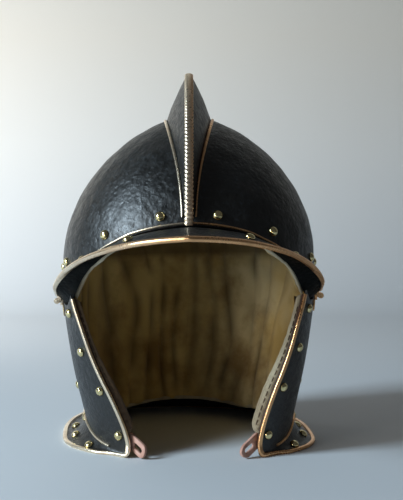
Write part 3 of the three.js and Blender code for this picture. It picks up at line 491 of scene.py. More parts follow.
class Value:
    """A number that varies over a surface; arithmetic on it adds Math nodes."""

    def __init__(self, finish, socket):
        self.finish = finish
        self.socket = socket

    def _maths(self, operation, first, second):
        node = self.finish.node("ShaderNodeMath", {"operation": operation}, {0: first, 1: second})
        return Value(self.finish, node.outputs[0])

    def __add__(self, other):
        return self._maths("ADD", self, other)

    __radd__ = __add__

    def __sub__(self, other):
        return self._maths("SUBTRACT", self, other)

    def __rsub__(self, other):
        return self._maths("SUBTRACT", other, self)

    def __mul__(self, other):
        return self._maths("MULTIPLY", self, other)

    __rmul__ = __mul__

    def clamped(self, low, high):
        """0 below low, 1 above high, and straight between."""
        inputs = {"Value": self, "From Min": low, "From Max": high}
        return Value(self.finish, self.finish.node("ShaderNodeMapRange", {"clamp": True}, inputs).outputs[0])


class Finish:
    """A material whose nodes are all added by one method, ending in a Principled shader."""

    def __init__(self, name, **constants):
        self.material = bpy.data.materials.new(name)
        self.material.use_nodes = True
        self.tree = self.material.node_tree
        self.tree.nodes.clear()
        self.shader = self.node("ShaderNodeBsdfPrincipled")
        self.node("ShaderNodeOutputMaterial", None, {"Surface": self.shader.outputs[0]})
        for socket, value in constants.items():
            self.shader.inputs[socket.replace("_", " ")].default_value = value

    def node(self, kind, settings=None, inputs=None):
        node = self.tree.nodes.new(kind)
        for key, value in (settings or {}).items():
            setattr(node, key, value)
        for key, value in (inputs or {}).items():
            self.feed(node.inputs[key], value)
        return node

    def feed(self, socket, value):
        if isinstance(value, Value):
            value = value.socket
        if isinstance(value, bpy.types.NodeSocket):
            self.tree.links.new(value, socket)
        else:
            socket.default_value = value

    def place(self, scale=(1.0, 1.0, 1.0), on="Object"):
        """Coordinates of the piece, stretched along its axes."""
        coordinates = self.node("ShaderNodeTexCoord").outputs[on]
        mapping = self.node("ShaderNodeMapping", None, {"Vector": coordinates, "Scale": scale})
        return mapping.outputs[0]

    def part(self, vector, axis):
        """One number out of a vector: 0 for its x, 1 for its y and 2 for its z."""
        return Value(self, self.node("ShaderNodeSeparateXYZ", None, {0: vector}).outputs[axis])

    def shade(self):
        """How much painted shade darkens each place, from 0 to 1: the piece's own second map carries it."""
        return self.part(self.node("ShaderNodeUVMap", {"uv_map": "shade"}).outputs[0], 0).clamped(0.0, 1.0)

    def along_x(self, low, high):
        """0 up to one place across the helmet, in metres, and 1 from another."""
        return self.part(self.place(), 0).clamped(low, high)

    def noise(self, place, scale, detail=3.0, roughness=0.55):
        inputs = {"Vector": place, "Scale": scale, "Detail": detail, "Roughness": roughness}
        return Value(self, self.node("ShaderNodeTexNoise", None, inputs).outputs[0])

    def cells(self, place, scale):
        node = self.node("ShaderNodeTexVoronoi", {"feature": "F1"}, {"Vector": place, "Scale": scale})
        return Value(self, node.outputs["Distance"])

    def stripes(self, place, scale, direction, distortion):
        settings = {"wave_type": "BANDS", "bands_direction": direction}
        inputs = {"Vector": place, "Scale": scale, "Distortion": distortion, "Detail": 2.0}
        return Value(self, self.node("ShaderNodeTexWave", settings, inputs).outputs["Fac"])

    def blend(self, share, first, second):
        """Two colours mixed by a share from 0 to 1."""
        node = self.node("ShaderNodeMix", {"data_type": "RGBA"}, {0: share, 6: first, 7: second})
        return node.outputs[2]

    def paint(self, color, roughness=None, height=None, distance=0.001, strength=1.0):
        """Feeds what varies over the surface to the shader. The height's distance is in metres."""
        self.feed(self.shader.inputs["Base Color"], color)
        if roughness is not None:
            self.feed(self.shader.inputs["Roughness"], roughness)
        if height is not None:
            inputs = {"Height": height, "Distance": distance, "Strength": strength}
            self.feed(self.shader.inputs["Normal"], self.node("ShaderNodeBump", None, inputs).outputs[0])
        return self.material


def rgb(red, green, blue):
    return (red, green, blue, 1.0)


def black_iron(name, shine):
    """Blackened plate: rough from the hammer, blue-grey where it is rubbed, brown in places."""
    finish = Finish(name, Specular_IOR_Level=shine)
    place = finish.place()
    patches = finish.noise(place, 24.0, 4.0)
    coarse = finish.noise(place, 185.0, 4.0, 0.6)
    grain = finish.noise(place, 420.0, 4.0, 0.65)
    pits = finish.cells(place, 230.0).clamped(0.0, 0.6)
    dark = finish.blend(patches.clamped(0.42, 0.65), rgb(0.003, 0.0033, 0.003), rgb(0.006, 0.0072, 0.0075))
    rust = finish.noise(place, 46.0, 4.0).clamped(0.6, 0.8) * 0.5
    browned = finish.blend(rust, dark, rgb(0.020, 0.013, 0.009))
    worn = grain.clamped(0.56, 0.72) * coarse.clamped(0.45, 0.7)
    color = finish.blend(worn * (shine * 0.9), browned, rgb(0.050, 0.074, 0.100))
    roughness = coarse.clamped(0.35, 0.7) * 0.20 + grain.clamped(0.35, 0.7) * 0.1 + 0.29
    height = coarse * 0.5 + grain * 0.45 + pits * 0.32 + finish.noise(place, 70.0, 2.0) * 0.2
    return finish.paint(color, roughness, height, 0.0011, 0.68)


def brass(name, pale_up_to, copper_from):
    """Edging: pale on the wearer's right, painted light on the side towards the window, and copper on the
    left, with brown tarnish and dents.
    """
    finish = Finish(name, Metallic=1.0)
    place = finish.place()
    tarnish = finish.noise(place, 60.0, 5.0, 0.6).clamped(0.45, 0.75)
    fine = finish.noise(place, 600.0, 3.0)
    # Painted light: paler towards the window's side, the wearer's right
    side = finish.along_x(pale_up_to, copper_from)
    clean = finish.blend(side, rgb(0.98, 0.84, 0.64), rgb(0.86, 0.49, 0.24))
    color = finish.blend(tarnish * 0.6, clean, rgb(0.46, 0.27, 0.14))
    roughness = tarnish * 0.16 + fine.clamped(0.3, 0.7) * 0.1 + 0.24
    height = finish.noise(place, 240.0, 3.0) * 0.7 + fine * 0.3
    return finish.paint(color, roughness, height, 0.0005, 0.5)


def rivet_brass():
    """Polished yellow brass with a greenish cast and a few dull spots."""
    finish = Finish("rivet_brass", Metallic=1.0)
    place = finish.place()
    spots = finish.noise(place, 260.0, 4.0).clamped(0.5, 0.75)
    color = finish.blend(spots * 0.7, rgb(0.86, 0.74, 0.40), rgb(0.30, 0.24, 0.10))
    roughness = spots * 0.2 + 0.14
    return finish.paint(color, roughness, finish.noise(place, 420.0), 0.0004, 0.35)


def linen(name, low, high, stain, painted_light=0.0):
    """Cloth in a plain weave along its own directions, with streaks down it and brown stains, paler in soft
    blotches on the wearer's left as painted light where the window lights the inside, and painted shade."""
    finish = Finish(name, Sheen_Weight=0.12, Specular_IOR_Level=0.2)
    cloth = finish.place(on="UV")
    streaks = finish.noise(finish.place((15.0, 7.0, 1.0), "UV"), 1.0, 3.0, 0.5)
    stains = finish.noise(finish.place(), 17.0, 5.0, 0.62)
    warp = finish.stripes(cloth, 330.0, "X", 1.2)
    weft = finish.stripes(cloth, 330.0, "Y", 1.2)
    fuzz = finish.noise(finish.place(), 520.0, 4.0, 0.7)
    clean = finish.blend(streaks.clamped(0.34, 0.66), low, high)
    blotches = finish.noise(finish.place(), 13.0, 3.0, 0.6).clamped(0.40, 0.60)
    # Painted light: soft pale blotches towards the wearer's left, the inside that the window lights
    clean = finish.blend(finish.along_x(-0.01, 0.07) * blotches * painted_light, clean, rgb(0.74, 0.62, 0.36))
    stained = finish.blend(stains.clamped(0.46, 0.66) * 0.75, clean, stain)
    # Painted shade from the second map: darker in the lining's creases and under the brow
    color = finish.blend(finish.shade() * 0.72, stained, rgb(0.085, 0.048, 0.016))
    threads = (warp + weft) * 0.35
    return finish.paint(color, stains * 0.1 + 0.82, threads + fuzz, 0.0005, 0.6)


def leather(name, low, high):
    """Old leather: mottled, with a fine pebbled grain and creases."""
    finish = Finish(name, Specular_IOR_Level=0.35)
    place = finish.place()
    mottle = finish.noise(place, 70.0, 5.0, 0.6)
    grain = finish.cells(place, 900.0)
    creases = finish.noise(place, 190.0, 4.0, 0.7)
    color = finish.blend(mottle.clamped(0.35, 0.65), low, high)
    return finish.paint(color, mottle * 0.2 + 0.5, grain * 0.5 + creases, 0.0005, 0.6)


def thread():
    """Brown waxed thread, a little fuzzy."""
    finish = Finish("thread", Specular_IOR_Level=0.2)
    place = finish.place()
    fuzz = finish.noise(place, 900.0, 3.0)
    mottle = finish.noise(place, 120.0).clamped(0.4, 0.6)
    color = finish.blend(mottle, rgb(0.06, 0.04, 0.025), rgb(0.13, 0.09, 0.06))
    return finish.paint(color, fuzz * 0.1 + 0.75, fuzz, 0.0003, 0.5)


def backdrop_finish():
    """Matt paper: bluish on the floor, warmer up the wall."""
    finish = Finish("backdrop", Roughness=0.8, Specular_IOR_Level=0.2)
    height = finish.part(finish.place(), 2).clamped(0.0, 0.6)
    return finish.paint(finish.blend(height, rgb(0.64, 0.67, 0.70), rgb(0.72, 0.66, 0.585)))


FINISHES = {
    "black_iron": black_iron("black_iron", 0.6),
    # A darker, duller copy of the iron, without rubbed flecks, for the peak's underside: painted shade
    "shaded_iron": black_iron("shaded_iron", 0.04),
    # Both brasses are paler on the wearer's right as painted light; on the peak only near its end
    "brass": brass("brass", -0.001, 0.004),
    "peak_brass": brass("peak_brass", -0.095, -0.015),
    "rivet_brass": rivet_brass(),
    # The linen's last number is the strength of its painted light
    "linen": linen("linen", rgb(0.37, 0.23, 0.06), rgb(0.68, 0.48, 0.18), rgb(0.22, 0.11, 0.024), 0.85),
    "linen_edge": linen("linen_edge", rgb(0.34, 0.28, 0.18), rgb(0.58, 0.51, 0.37), rgb(0.22, 0.15, 0.09)),
    # A darker copy of the roll's cloth for the wearer's right, the side in shade: painted shade
    "linen_shaded": linen("linen_shaded", rgb(0.13, 0.08, 0.045), rgb(0.28, 0.19, 0.12), rgb(0.07, 0.035, 0.02)),
    "tan_leather": leather("tan_leather", rgb(0.36, 0.17, 0.12), rgb(0.66, 0.40, 0.32)),
    "dark_leather": leather("dark_leather", rgb(0.035, 0.016, 0.010), rgb(0.085, 0.042, 0.026)),
    "thread": thread(),
}


# Skull

FRONT_COLUMNS = 144
NAPE_COLUMNS = 48
HAMMER_DEPTH = 0.22
HAMMER_LENGTH = 17.0


def bowl_turns(seam, density):
    """Degrees round for the bowl's columns, with one of them at each end of the seam."""
    ahead = np.linspace(-seam, seam, FRONT_COLUMNS * density + 1)
    behind = np.linspace(seam, 360 - seam, 2 * NAPE_COLUMNS * density + 1)
    return ahead, behind


def folded(turn):
    """Degrees from the front, whichever way round."""
    return np.abs((turn + 180) % 360 - 180)


def bowl_patches(out, foot_ahead, foot_behind, side_foot, shift, density=1, rows=90, seed=None):
    """The bowl as two grids: over the top from its edge, and the nape from the seams downwards."""
    ahead, behind = bowl_turns(float(seam_around(np.array(side_foot), shift)), density)
    turns = np.concatenate([ahead, behind[1:-1]])
    edge = np.where(folded(turns) < 84, foot_ahead(folded(turns)), side_foot)
    crown = level_of(np.array(CROWN_Z))
    levels = lerp(level_of(edge)[None, :], crown, down(rows + 1))
    turns = np.broadcast_to(turns, levels.shape)
    over = face(turns, height_of(levels), out, seed)
    over[-1] = over[-1].mean(axis=0)
    heights = lerp(foot_behind(folded(behind))[None, :], side_foot, down(rows * 2 // 3 + 1))
    around = 180 + across(len(behind), -1, 1) * (180 - seam_around(heights, shift))
    nape = face(around, heights, out, seed)
    return (over, turns, height_of(levels)), (nape, around, heights)


def face(around, z, out, seed):
    """The shell at a distance, hammered where a seed is given."""
    points = shell_point(around, z, out)
    if seed is None:
        return points
    return dented(points, shell_normal(around, z), HAMMER_DEPTH, HAMMER_LENGTH, seed)


def cloth_uv(around, z):
    """Degrees round as a length at the widest section, and height."""
    return stack(around * (SKULL_WIDTH * math.pi / 360), z, 0.0)[..., :2]


def skull():
    """The bowl over the face opening and down to the nape's foot, open at the face and over the ears."""
    brow = lambda turn: brow_edge(turn, "z")
    foot = lambda turn: flange(turn, "base")
    over, nape = bowl_patches(0.0, brow, foot, SKULL_SIDE_Z, SEAM_GAP / 2, seed=3)
    mesh = Mesh()
    mesh.grid(over[0], cloth_uv(*over[1:]), around=True)
    mesh.grid(nape[0], cloth_uv(*nape[1:]))
    build("skull_plate", mesh, "helmet", "black_iron", ["skull"], SKULL_PLATE)


skull()


# Comb

def comb_reach(station, beside):
    """Distance from the middle section's centre to the skull."""
    station, beside = np.broadcast_arrays(np.asarray(station, float), np.asarray(beside, float))
    angle = np.radians(station)

    def inside(distance):
        y = -distance * np.cos(angle)
        z = WIDEST_Z + distance * np.sin(angle)
        side, front, rear = outline(np.minimum(z, CROWN_Z - 1e-6))
        return (np.hypot(beside / side, y / np.where(y < 0, front, rear)) <= 1) & (z < CROWN_Z)

    return halved(inside, np.full(station.shape, 40.0), np.full(station.shape, 160.0), 40)


def comb_point(station, beside, distance):
    """A place at a distance from the middle section's centre, by degrees over the crown from the front."""
    angle = np.radians(station)
    return settled(stack(beside, -distance * np.cos(angle), WIDEST_Z + distance * np.sin(angle)))


def comb_swell(station):
    """0 at the comb's two ends and 1 at the crown."""
    rising = smoothstep(station, COMB_FRONT - 4, 90.0)
    falling = 1 - smoothstep(station, 90.0, COMB_BACK + 4)
    return np.where(station < 90, rising, falling)


def comb_foot(station):
    """Half the comb's width at its foot, widest at the crown."""
    return lerp(COMB_FOOT_LOW, COMB_FOOT_HIGH, comb_swell(station))


def comb_top(station):
    """Distance of the ridge: the skull's, and a rise that is greatest at the crown."""
    return comb_reach(station, 0.0) + lerp(COMB_RISE_LOW, COMB_RISE_HIGH, comb_swell(station))


def comb():
    """A hollow wedge: each flank runs from the foot to the ridge with a slight belly."""
    station = down(181, COMB_FRONT, COMB_BACK)
    climb = across(21)
    foot = comb_foot(station)
    beside = lerp(foot, COMB_RIDGE_HALF, climb) + COMB_BELLY * foot * np.sin(math.pi * climb)
    distance = lerp(comb_reach(station, foot) + GAP, comb_top(station), climb)
    left = dented_comb(comb_point(station, beside, distance))
    right = dented_comb(comb_point(station, -beside, distance))
    mesh = Mesh().grid(np.concatenate([left, right[:, ::-1]], axis=1))
    build("comb_plate", mesh, "helmet", "black_iron", ["comb"], COMB_PLATE)


def dented_comb(points):
    """The comb's flanks are hammered from the side."""
    sideways = np.zeros_like(points)
    sideways[..., 0] = 1.0
    return dented(points, sideways, 0.2, HAMMER_LENGTH, 5)


comb()


def path_frames(points, normals):
    """An out and an up direction along a path: up is the surface's normal, and out lies across."""
    along = unit(np.gradient(points, axis=0))
    out = unit(np.cross(normals, along))
    return out, unit(np.cross(along, out))


def lay(name, body, points, normals, section, nodes, finish="brass", slot=None):
    """A strip or cord laid along a path on a surface."""
    out, up = path_frames(points, normals)
    return build(name, Mesh().sweep(points, out, up, section), body, finish, nodes)


RIDGE_ROPE_PITCH = 3.3
RIDGE_STRIP_WIDTH = 6.3
RIDGE_STRIP_RISE = 3.0
RIDGE_STRIP_SEAT = 2.6
RIDGE_TOE = 4.5
RIDGE_TOE_DROP = 2.2


def comb_ridge():
    """A half-round strip with a roped face: its size swells once a pitch, and the swelling leans as it
    goes over from one side to the other, strongest along the two edges."""
    station = np.linspace(COMB_FRONT - RIDGE_TOE, COMB_BACK + 1, 1801)
    toe = np.clip((COMB_FRONT - station) / RIDGE_TOE, 0, 1)
    distance = comb_top(np.maximum(station, COMB_FRONT)) + GAP - RIDGE_TOE_DROP * toe
    points = comb_point(station, 0.0, distance)
    lengths = lengths_of(points)
    out = np.broadcast_to(np.array([1.0, 0.0, 0.0]), points.shape)
    up = unit(np.cross(unit(np.gradient(points, axis=0)), out))
    angle = np.radians(station)
    radial = stack(0 * angle, -np.cos(angle), np.sin(angle))
    up = np.where(np.einsum("ij,ij->i", up, radial)[:, None] < 0, -up, up)
    turn = across(17, 0, math.pi)
    phase = 2 * math.pi * lengths[:, None] / RIDGE_ROPE_PITCH + 2.2 * np.cos(turn)
    swell = 1 + (0.035 + 0.06 * np.abs(np.cos(turn))) * np.cos(phase)
    wide = RIDGE_STRIP_WIDTH / 2 * np.sign(np.cos(turn)) * np.abs(np.cos(turn)) ** 0.75 * swell
    tall = 0.5 + (RIDGE_STRIP_RISE - 0.5) * np.sin(turn) ** 0.8 * swell
    section = np.stack([wide, tall], axis=-1)
    seat = np.array([[-RIDGE_STRIP_SEAT, 0.0], [RIDGE_STRIP_SEAT, 0.0]])
    floor = np.broadcast_to(seat, (len(points), 2, 2))
    mesh = Mesh().sweep(points, out, up, np.concatenate([section, floor], axis=1))
    build("comb_rope", mesh, "helmet", "brass", ["comb_ridge"])


comb_ridge()


def strip_section(width, rise, sink=0.3):
    """A half-round strip whose underside sinks a little into the gap below it."""
    turn = np.linspace(0, math.pi, 9)
    top = np.stack([width / 2 * np.cos(turn), rise * np.sin(turn)], axis=-1)
    return np.concatenate([top, [[-width / 2, -sink], [width / 2, -sink]]])


STRIP_WIDTH = 1.9
STRIP = strip_section(STRIP_WIDTH, 1.25)
COMB_STRIP_CLEAR = 1.2
COMB_STRIP_NARROW = 1.5
COMB_STRIP_WIDE = 2.5


def circle(radius, sides=12):
    """Sections of a round cord, one for each radius."""
    turn = angles_round(sides)
    radius = np.atleast_1d(np.asarray(radius, float))[:, None, None]
    return radius * np.stack([np.cos(turn), np.sin(turn)], axis=-1)[None]


def comb_trim():
    """A strip along each side of the comb's foot and round its nape end, open towards the brow."""
    station = np.linspace(COMB_FRONT - 1, COMB_BACK, 240)
    foot = comb_foot(np.maximum(station, COMB_FRONT)) + COMB_STRIP_CLEAR
    turn = np.linspace(math.pi / 2, -math.pi / 2, 9)[1:-1]
    stations = np.concatenate([station, COMB_BACK + 1.7 * np.cos(turn), station[::-1]])
    beside = np.concatenate([foot, foot[-1] * np.sin(turn), -foot[::-1]])
    surface = lambda a, b: comb_point(a, b, comb_reach(a, b))
    points = surface(stations, beside)
    normals = normal_of(surface, stations, beside, 0.3, 0.2)
    centre = np.array([0.0, 0.0, WIDEST_Z])
    flip = np.einsum("ij,ij->i", normals, points - centre) < 0
    normals[flip] *= -1
    out, up = path_frames(points, normals)
    middle = smoothstep(stations, COMB_FRONT, 60) * (1 - smoothstep(stations, 160, 200))
    width = lerp(COMB_STRIP_NARROW, COMB_STRIP_WIDE, middle)
    section = STRIP[None] * np.stack([width / STRIP_WIDTH, 0.85 + 0 * width], axis=-1)[:, None, :]
    mesh = Mesh().sweep(points + up * GAP, out, up, section)
    build("comb_foot_strip", mesh, "helmet", "brass", ["comb_trim"])


comb_trim()


# Peak

def peak_drop(turn):
    """How far below the skull's edge the peak leaves it: further at the wings."""
    return lerp(BEND_DROP, WING_DROP, smoothstep(turn, 30, 60))


def peak_point(around, out):
    """From below the skull's edge out to the rim, with a slight arch."""
    around, out = np.broadcast_arrays(np.asarray(around, float), np.asarray(out, float))
    turn = np.abs(around)
    root = shell_point(around, brow_edge(turn, "z") - peak_drop(turn), PEAK_SEAT)
    sign = np.sign(around)
    rim = settled(stack(sign * peak_edge(turn, "x"), peak_edge(turn, "y"), peak_edge(turn, "z")))
    point = lerp(root, rim, out[..., None])
    point[..., 2] += PEAK_ARCH * np.sin(math.pi * out) * np.cos(np.radians(turn))
    return point


PEAK_TURNS = np.linspace(-PEAK_END, PEAK_END, 121)


def peak():
    """The plate, in a darker, duller copy of the iron underneath as painted shade and in the rubbed iron on
    top, with its upstand behind the skull's edge.
    """
    turns = PEAK_TURNS[None, :]
    plate = peak_point(turns, down(25, 1, 0))
    behind = shell_point(turns, brow_edge(np.abs(turns), "z") + down(4, 2, 12), PEAK_SEAT)
    points = np.concatenate([plate, behind])
    points[:20] += stack(0, 0, 0.18 * waves(points[:20], 8, HAMMER_LENGTH))
    mesh = Mesh().grid(points)
    piece = build("peak_plate", mesh, "helmet", "shaded_iron", ["peak"], SMALL_PLATE, 0.0)
    # Faces that look up get the rubbed iron, the rest the darker copy: painted shade
    piece.data.materials.append(FINISHES["black_iron"])
    normals = np.empty(3 * len(piece.data.polygons))
    piece.data.polygons.foreach_get("normal", normals)
    piece.data.polygons.foreach_set("material_index", (normals[2::3] > 0.3).astype(np.int32))


peak()


def edge_frames(edge, inside):
    """Directions along a plate's edge: out leaves the plate in its own face, and up stands on it."""
    along = unit(np.gradient(edge, axis=0))
    outward = edge - inside
    outward -= along * np.einsum("ij,ij->i", outward, along)[:, None]
    out = unit(outward)
    up = unit(np.cross(along, out))
    return out, up


def edging_section(radius):
    """Round-backed channels, one for each radius: half a circle outside the edge, and two flanges that
    lap the plate."""
    radius = np.atleast_1d(np.asarray(radius, float))[:, None]
    turn = np.linspace(-math.pi / 2, math.pi / 2, 15)[None, :]
    reach = radius - 0.3
    half = SMALL_PLATE / 2 + 0.05 + 0 * radius
    back = np.stack(np.broadcast_arrays(0.45 + radius * 0.85 * np.cos(turn), radius * np.sin(turn)), axis=-1)
    corners = [(-reach, radius * 0.96), (-reach - 0.25, half), (GAP + 0 * radius, half)]
    corners += [(out, -up) for out, up in reversed(corners)]
    lips = np.stack([np.concatenate(corner, axis=-1) for corner in corners], axis=1)
    return np.concatenate([back, lips], axis=1)


def peak_rim():
    """The channel round the peak's edge, slimmer at the wings."""
    edge = peak_point(PEAK_TURNS, 1.0)
    inside = peak_point(PEAK_TURNS, 0.8)
    out, up = edge_frames(edge, inside)
    section = edging_section(EDGING_RADIUS - 0.35 * smoothstep(np.abs(PEAK_TURNS), 52, 74))
    mesh = Mesh().sweep(edge, out, up, section)
    build("peak_edging", mesh, "helmet", "peak_brass", ["peak_rim"])


peak_rim()


def peak_trim():
    """A thin strip along the skull's edge above the peak."""
    around = np.linspace(-PEAK_TRIM_END, PEAK_TRIM_END, 161)
    turn = np.abs(around)
    steep = (brow_edge(turn - 2, "z") - brow_edge(turn + 2, "z")) / 7
    z = brow_edge(turn, "z") + 1.3 * np.hypot(1, steep)
    lay("peak_joint_strip", "helmet", *on_shell(around, z, GAP), strip_section(1.7, 1.1), ["peak_trim"])


peak_trim()


# Flange

def rim_radius(turn):
    """Half the height of the brass along the flange's rim, slimmer towards the face."""
    return lerp(CHEEK_EDGING_RADIUS, EDGING_RADIUS, smoothstep(turn, 62, 112))


def flange_point(around, out, seat):
    """From the wall out to the rim, falling steeply at first and flattening towards the rim."""
    around, out = np.broadcast_arrays(np.asarray(around, float), np.asarray(out, float))
    turn = folded(around)
    sign = np.sign((around + 180) % 360 - 180)
    foot = shell_point(around, flange(turn, "base"), seat)
    rim = settled(stack(sign * flange(turn, "x"), flange(turn, "y"), rim_radius(turn)))
    point = lerp(foot, rim, out[..., None])
    point[..., 2] = lerp(rim[..., 2], foot[..., 2], (1 - out) ** FLARE_POWER)
    return point


def neck_flange_point(around, out):
    """The flange behind the seams, whose plate leaves the wall from the inside, a little lower."""
    point = flange_point(around, out, PEAK_SEAT)
    point[..., 2] -= BEND_DROP * (1 - out)
    return point


def seam_turns(sign, outs, surface, shift):
    """Degrees round at which a flange's lines cross the seam."""
    def ahead(turn):
        point = surface(sign * turn, outs)
        return point[..., 1] <= seam_y(point[..., 2]) + shift

    return sign * halved(ahead, np.full(outs.shape, 80.0), np.full(outs.shape, 125.0), 30)


FLANGE_OUTS = np.linspace(1, 0, 17)
FOOT_STRIP_SEAM_Z = 24.0


def neck_guard():
    """The flange behind the seams, with its upstand inside the nape."""
    left = seam_turns(1.0, FLANGE_OUTS, neck_flange_point, SEAM_GAP / 2)[:, None]
    right = 360 + seam_turns(-1.0, FLANGE_OUTS, neck_flange_point, SEAM_GAP / 2)[:, None]
    around = lerp(left, right, across(97))
    skirt = neck_flange_point(around, FLANGE_OUTS[:, None])
    skirt += stack(0, 0, 0.2 * waves(skirt, 9, HAMMER_LENGTH) * np.sin(math.pi * FLANGE_OUTS)[:, None])
    lifts = np.array([4.0, 16.0])[:, None]
    upstand = shell_point(around[-1:], flange(folded(around[-1:]), "base") + lifts, PEAK_SEAT)
    mesh = Mesh().grid(np.concatenate([skirt, upstand]))
    build("neck_guard_plate", mesh, "helmet", "black_iron", ["neck_guard"], SMALL_PLATE, 0.0)
    turns = np.linspace(float(left[0, 0]), float(right[0, 0]), 121)
    edge = flange_point(turns, 1.0, 0.0)
    inside = flange_point(turns, 0.97, 0.0)
    inside[:, 2] = edge[:, 2]
    out, up = edge_frames(edge, inside)
    section = edging_section(rim_radius(folded(turns)))
    build("neck_edging", Mesh().sweep(edge, out, up, section), "helmet", "brass", ["neck_rim"])
    half = 180 - float(seam_around(np.array(FOOT_STRIP_SEAM_Z), SEAM_GAP / 2))
    foot = 180 + np.linspace(-1, 1, 121) * half
    z = flange(folded(foot), "base") + 1.4
    lay("neck_foot_strip", "helmet", *on_shell(foot, z, GAP), STRIP, ["neck_trim"])


neck_guard()


# Cheek pieces

TIP_SWELL = 0.35
TIP_REACH = 14.0


def cheek_top(turn):
    """Height of the cheek piece's upper edge: lower under the peak's wing, raised at its front corner."""
    level = lerp(CHEEK_TOP_UNDER_WING, CHEEK_TOP_Z, smoothstep(turn, 76, 80))
    return np.maximum(level, brow_edge(turn, "z") - CHEEK_BELOW_EDGE)


def cheek_flange_point(around, out):
    """The flange ahead of the seams, in one plate with the wall."""
    return flange_point(around, out, CHEEK_SEAT)


def cheek_wall_turn(back_foot, share, climb):
    """Degrees round and height of a place on the wall: share runs from the front edge to the seam."""
    foot_turn = lerp(FLANGE_START, back_foot, share)
    base = flange(foot_turn, "base")
    top_turn = lerp(float(cheek_front(CHEEK_CORNER_Z, "around")), CHEEK_TOP_REAR, share)
    z = lerp(base, cheek_top(top_turn), climb)
    wall_turn = lerp(cheek_front(z, "around"), seam_around(z, -SEAM_GAP / 2), share)
    return lerp(foot_turn, wall_turn, smoothstep(climb, 0, 0.12)), z


def rounded(points, times=3):
    """Corners cut off a path again and again, keeping its two ends."""
    for _ in range(times):
        near = 0.75 * points[:-1] + 0.25 * points[1:]
        far = 0.25 * points[:-1] + 0.75 * points[1:]
        inner = np.stack([near, far], axis=1).reshape(-1, points.shape[1])
        points = np.concatenate([points[:1], inner[1:-1], points[-1:]])
    return points


def cheek(side, sign):
    """The plate in one piece with its stretch of the flange, its edging, and the strip at its foot."""
    body = f"cheek_{side}"
    outs = FLANGE_OUTS[:-1]
    back = np.abs(seam_turns(sign, outs, cheek_flange_point, -SEAM_GAP / 2))[:, None]
    back_foot = float(np.abs(seam_turns(sign, np.array([0.0]), cheek_flange_point, -SEAM_GAP / 2))[0])
    share = across(61)
    skirt = cheek_flange_point(sign * lerp(FLANGE_START, back, share), outs[:, None])
    turns, heights = cheek_wall_turn(back_foot, share, down(41))
    wall = shell_point(sign * turns, heights, CHEEK_SEAT)
    mesh = Mesh().grid(np.concatenate([skirt, wall]))
    build(f"cheek_plate_{side}", mesh, body, "black_iron", [body], SMALL_PLATE, 0.0)
    cheek_edging(side, sign, float(back[0, 0]), back_foot)
    end = float(seam_around(np.array(FOOT_STRIP_SEAM_Z), -SEAM_GAP / 2))
    turns = lerp(FLANGE_START + 14, end, np.linspace(0, 1, 61))
    z = flange(turns, "base") + 2.2 + 3.0 * smoothstep(turns, 62, 80)
    strip = on_shell(sign * turns, z, GAP)
    lay(f"flange_foot_strip_{side}", body, *strip, STRIP, [f"flange_trim_{side}"])


def cheek_edging(side, sign, back_rim, back_foot):
    """One channel down the front edge, round the tip and back along the flange to the seam."""
    climbs = np.linspace(0.975, 0.05, 36)
    turns, heights = cheek_wall_turn(back_foot, 0.0, climbs)
    edge = shell_point(sign * turns, heights, CHEEK_SEAT)
    turns, heights = cheek_wall_turn(back_foot, 0.05, climbs)
    outward = unit(edge - shell_point(sign * turns, heights, CHEEK_SEAT))
    rim_turns = np.linspace(FLANGE_START + 3, back_rim, 48)
    rim = cheek_flange_point(sign * rim_turns, 1.0)
    rim_out = rim - cheek_flange_point(sign * rim_turns, 0.9)
    rim_out[:, 2] = 0
    downwards = np.array([0.0, 0.0, -1.0])
    corner_out = unit(0.7 * outward[-1] + 0.7 * downwards)[None]
    corner = (cheek_flange_point(np.array([sign * FLANGE_START]), 1.0) * 0.8 + edge[-1:] * 0.2)
    path = rounded(np.concatenate([edge, corner, rim]), 2)
    out = rounded(np.concatenate([outward, corner_out, unit(rim_out)]), 2)
    along = unit(np.gradient(path, axis=0))
    out = unit(out - along * np.einsum("ij,ij->i", out, along)[:, None])
    up = unit(np.cross(along, out))
    radius = np.concatenate([0 * climbs, [0.0], rim_radius(rim_turns) - CHEEK_EDGING_RADIUS])
    swell = rounded(radius[:, None], 2)[:, 0]
    tip = np.linalg.norm(path - corner, axis=1)
    fuller = TIP_SWELL * np.exp(-((tip / TIP_REACH) ** 2))
    section = edging_section(CHEEK_EDGING_RADIUS + swell + fuller)
    path[:, 2] = np.maximum(path[:, 2], section[:, :, 1].max(axis=1) * np.abs(up[:, 2]))
    mesh = Mesh().sweep(path, out, up, section)
    nodes = [f"cheek_edging_{side}", f"flange_rim_{side}"]
    build(f"cheek_edging_strip_{side}", mesh, f"cheek_{side}", "brass", nodes)


for side_name, side_sign in SIDES:
    cheek(side_name, side_sign)


# Rivets

HEAD_RADIUS = 3.75
HEAD_RISE = 3.0
HEAD_SIDES = 28
SHANK_RADIUS = 1.3
SHANK_LENGTH = 1.2
COLLAR_FOOT = 0.12

# Rows are (degrees round, height) on the shell. The first five on the skull and the first five on the
# cheek piece are in the CAD too.
SKULL_RIVETS = ((12.3, 185.3), (38, 172.8), (68, 151.5), (112, 143), (150, 40), (90, 146), (134, 141),
                (157, 140.5))
MIDDLE_RIVET = ((180, 140.5),)
CHEEK_RIVETS = ((67, 111), (60, 81.2), (49.8, 51.8), (42.8, 16.5), (93, 47), (88, 20), (98, 74), (102, 101))
# Rows are (degrees round, share of the way out to the rim). All but the last three on the neck are in
# the CAD too.
PEAK_RIVETS = ((21.5, 0.72), (45.5, 0.62))
CHEEK_FLANGE_RIVETS = ((66, 0.5), (85, 0.5))
NECK_RIVETS = ((106, 0.62), (126, 0.62), (144, 0.62), (162, 0.62))


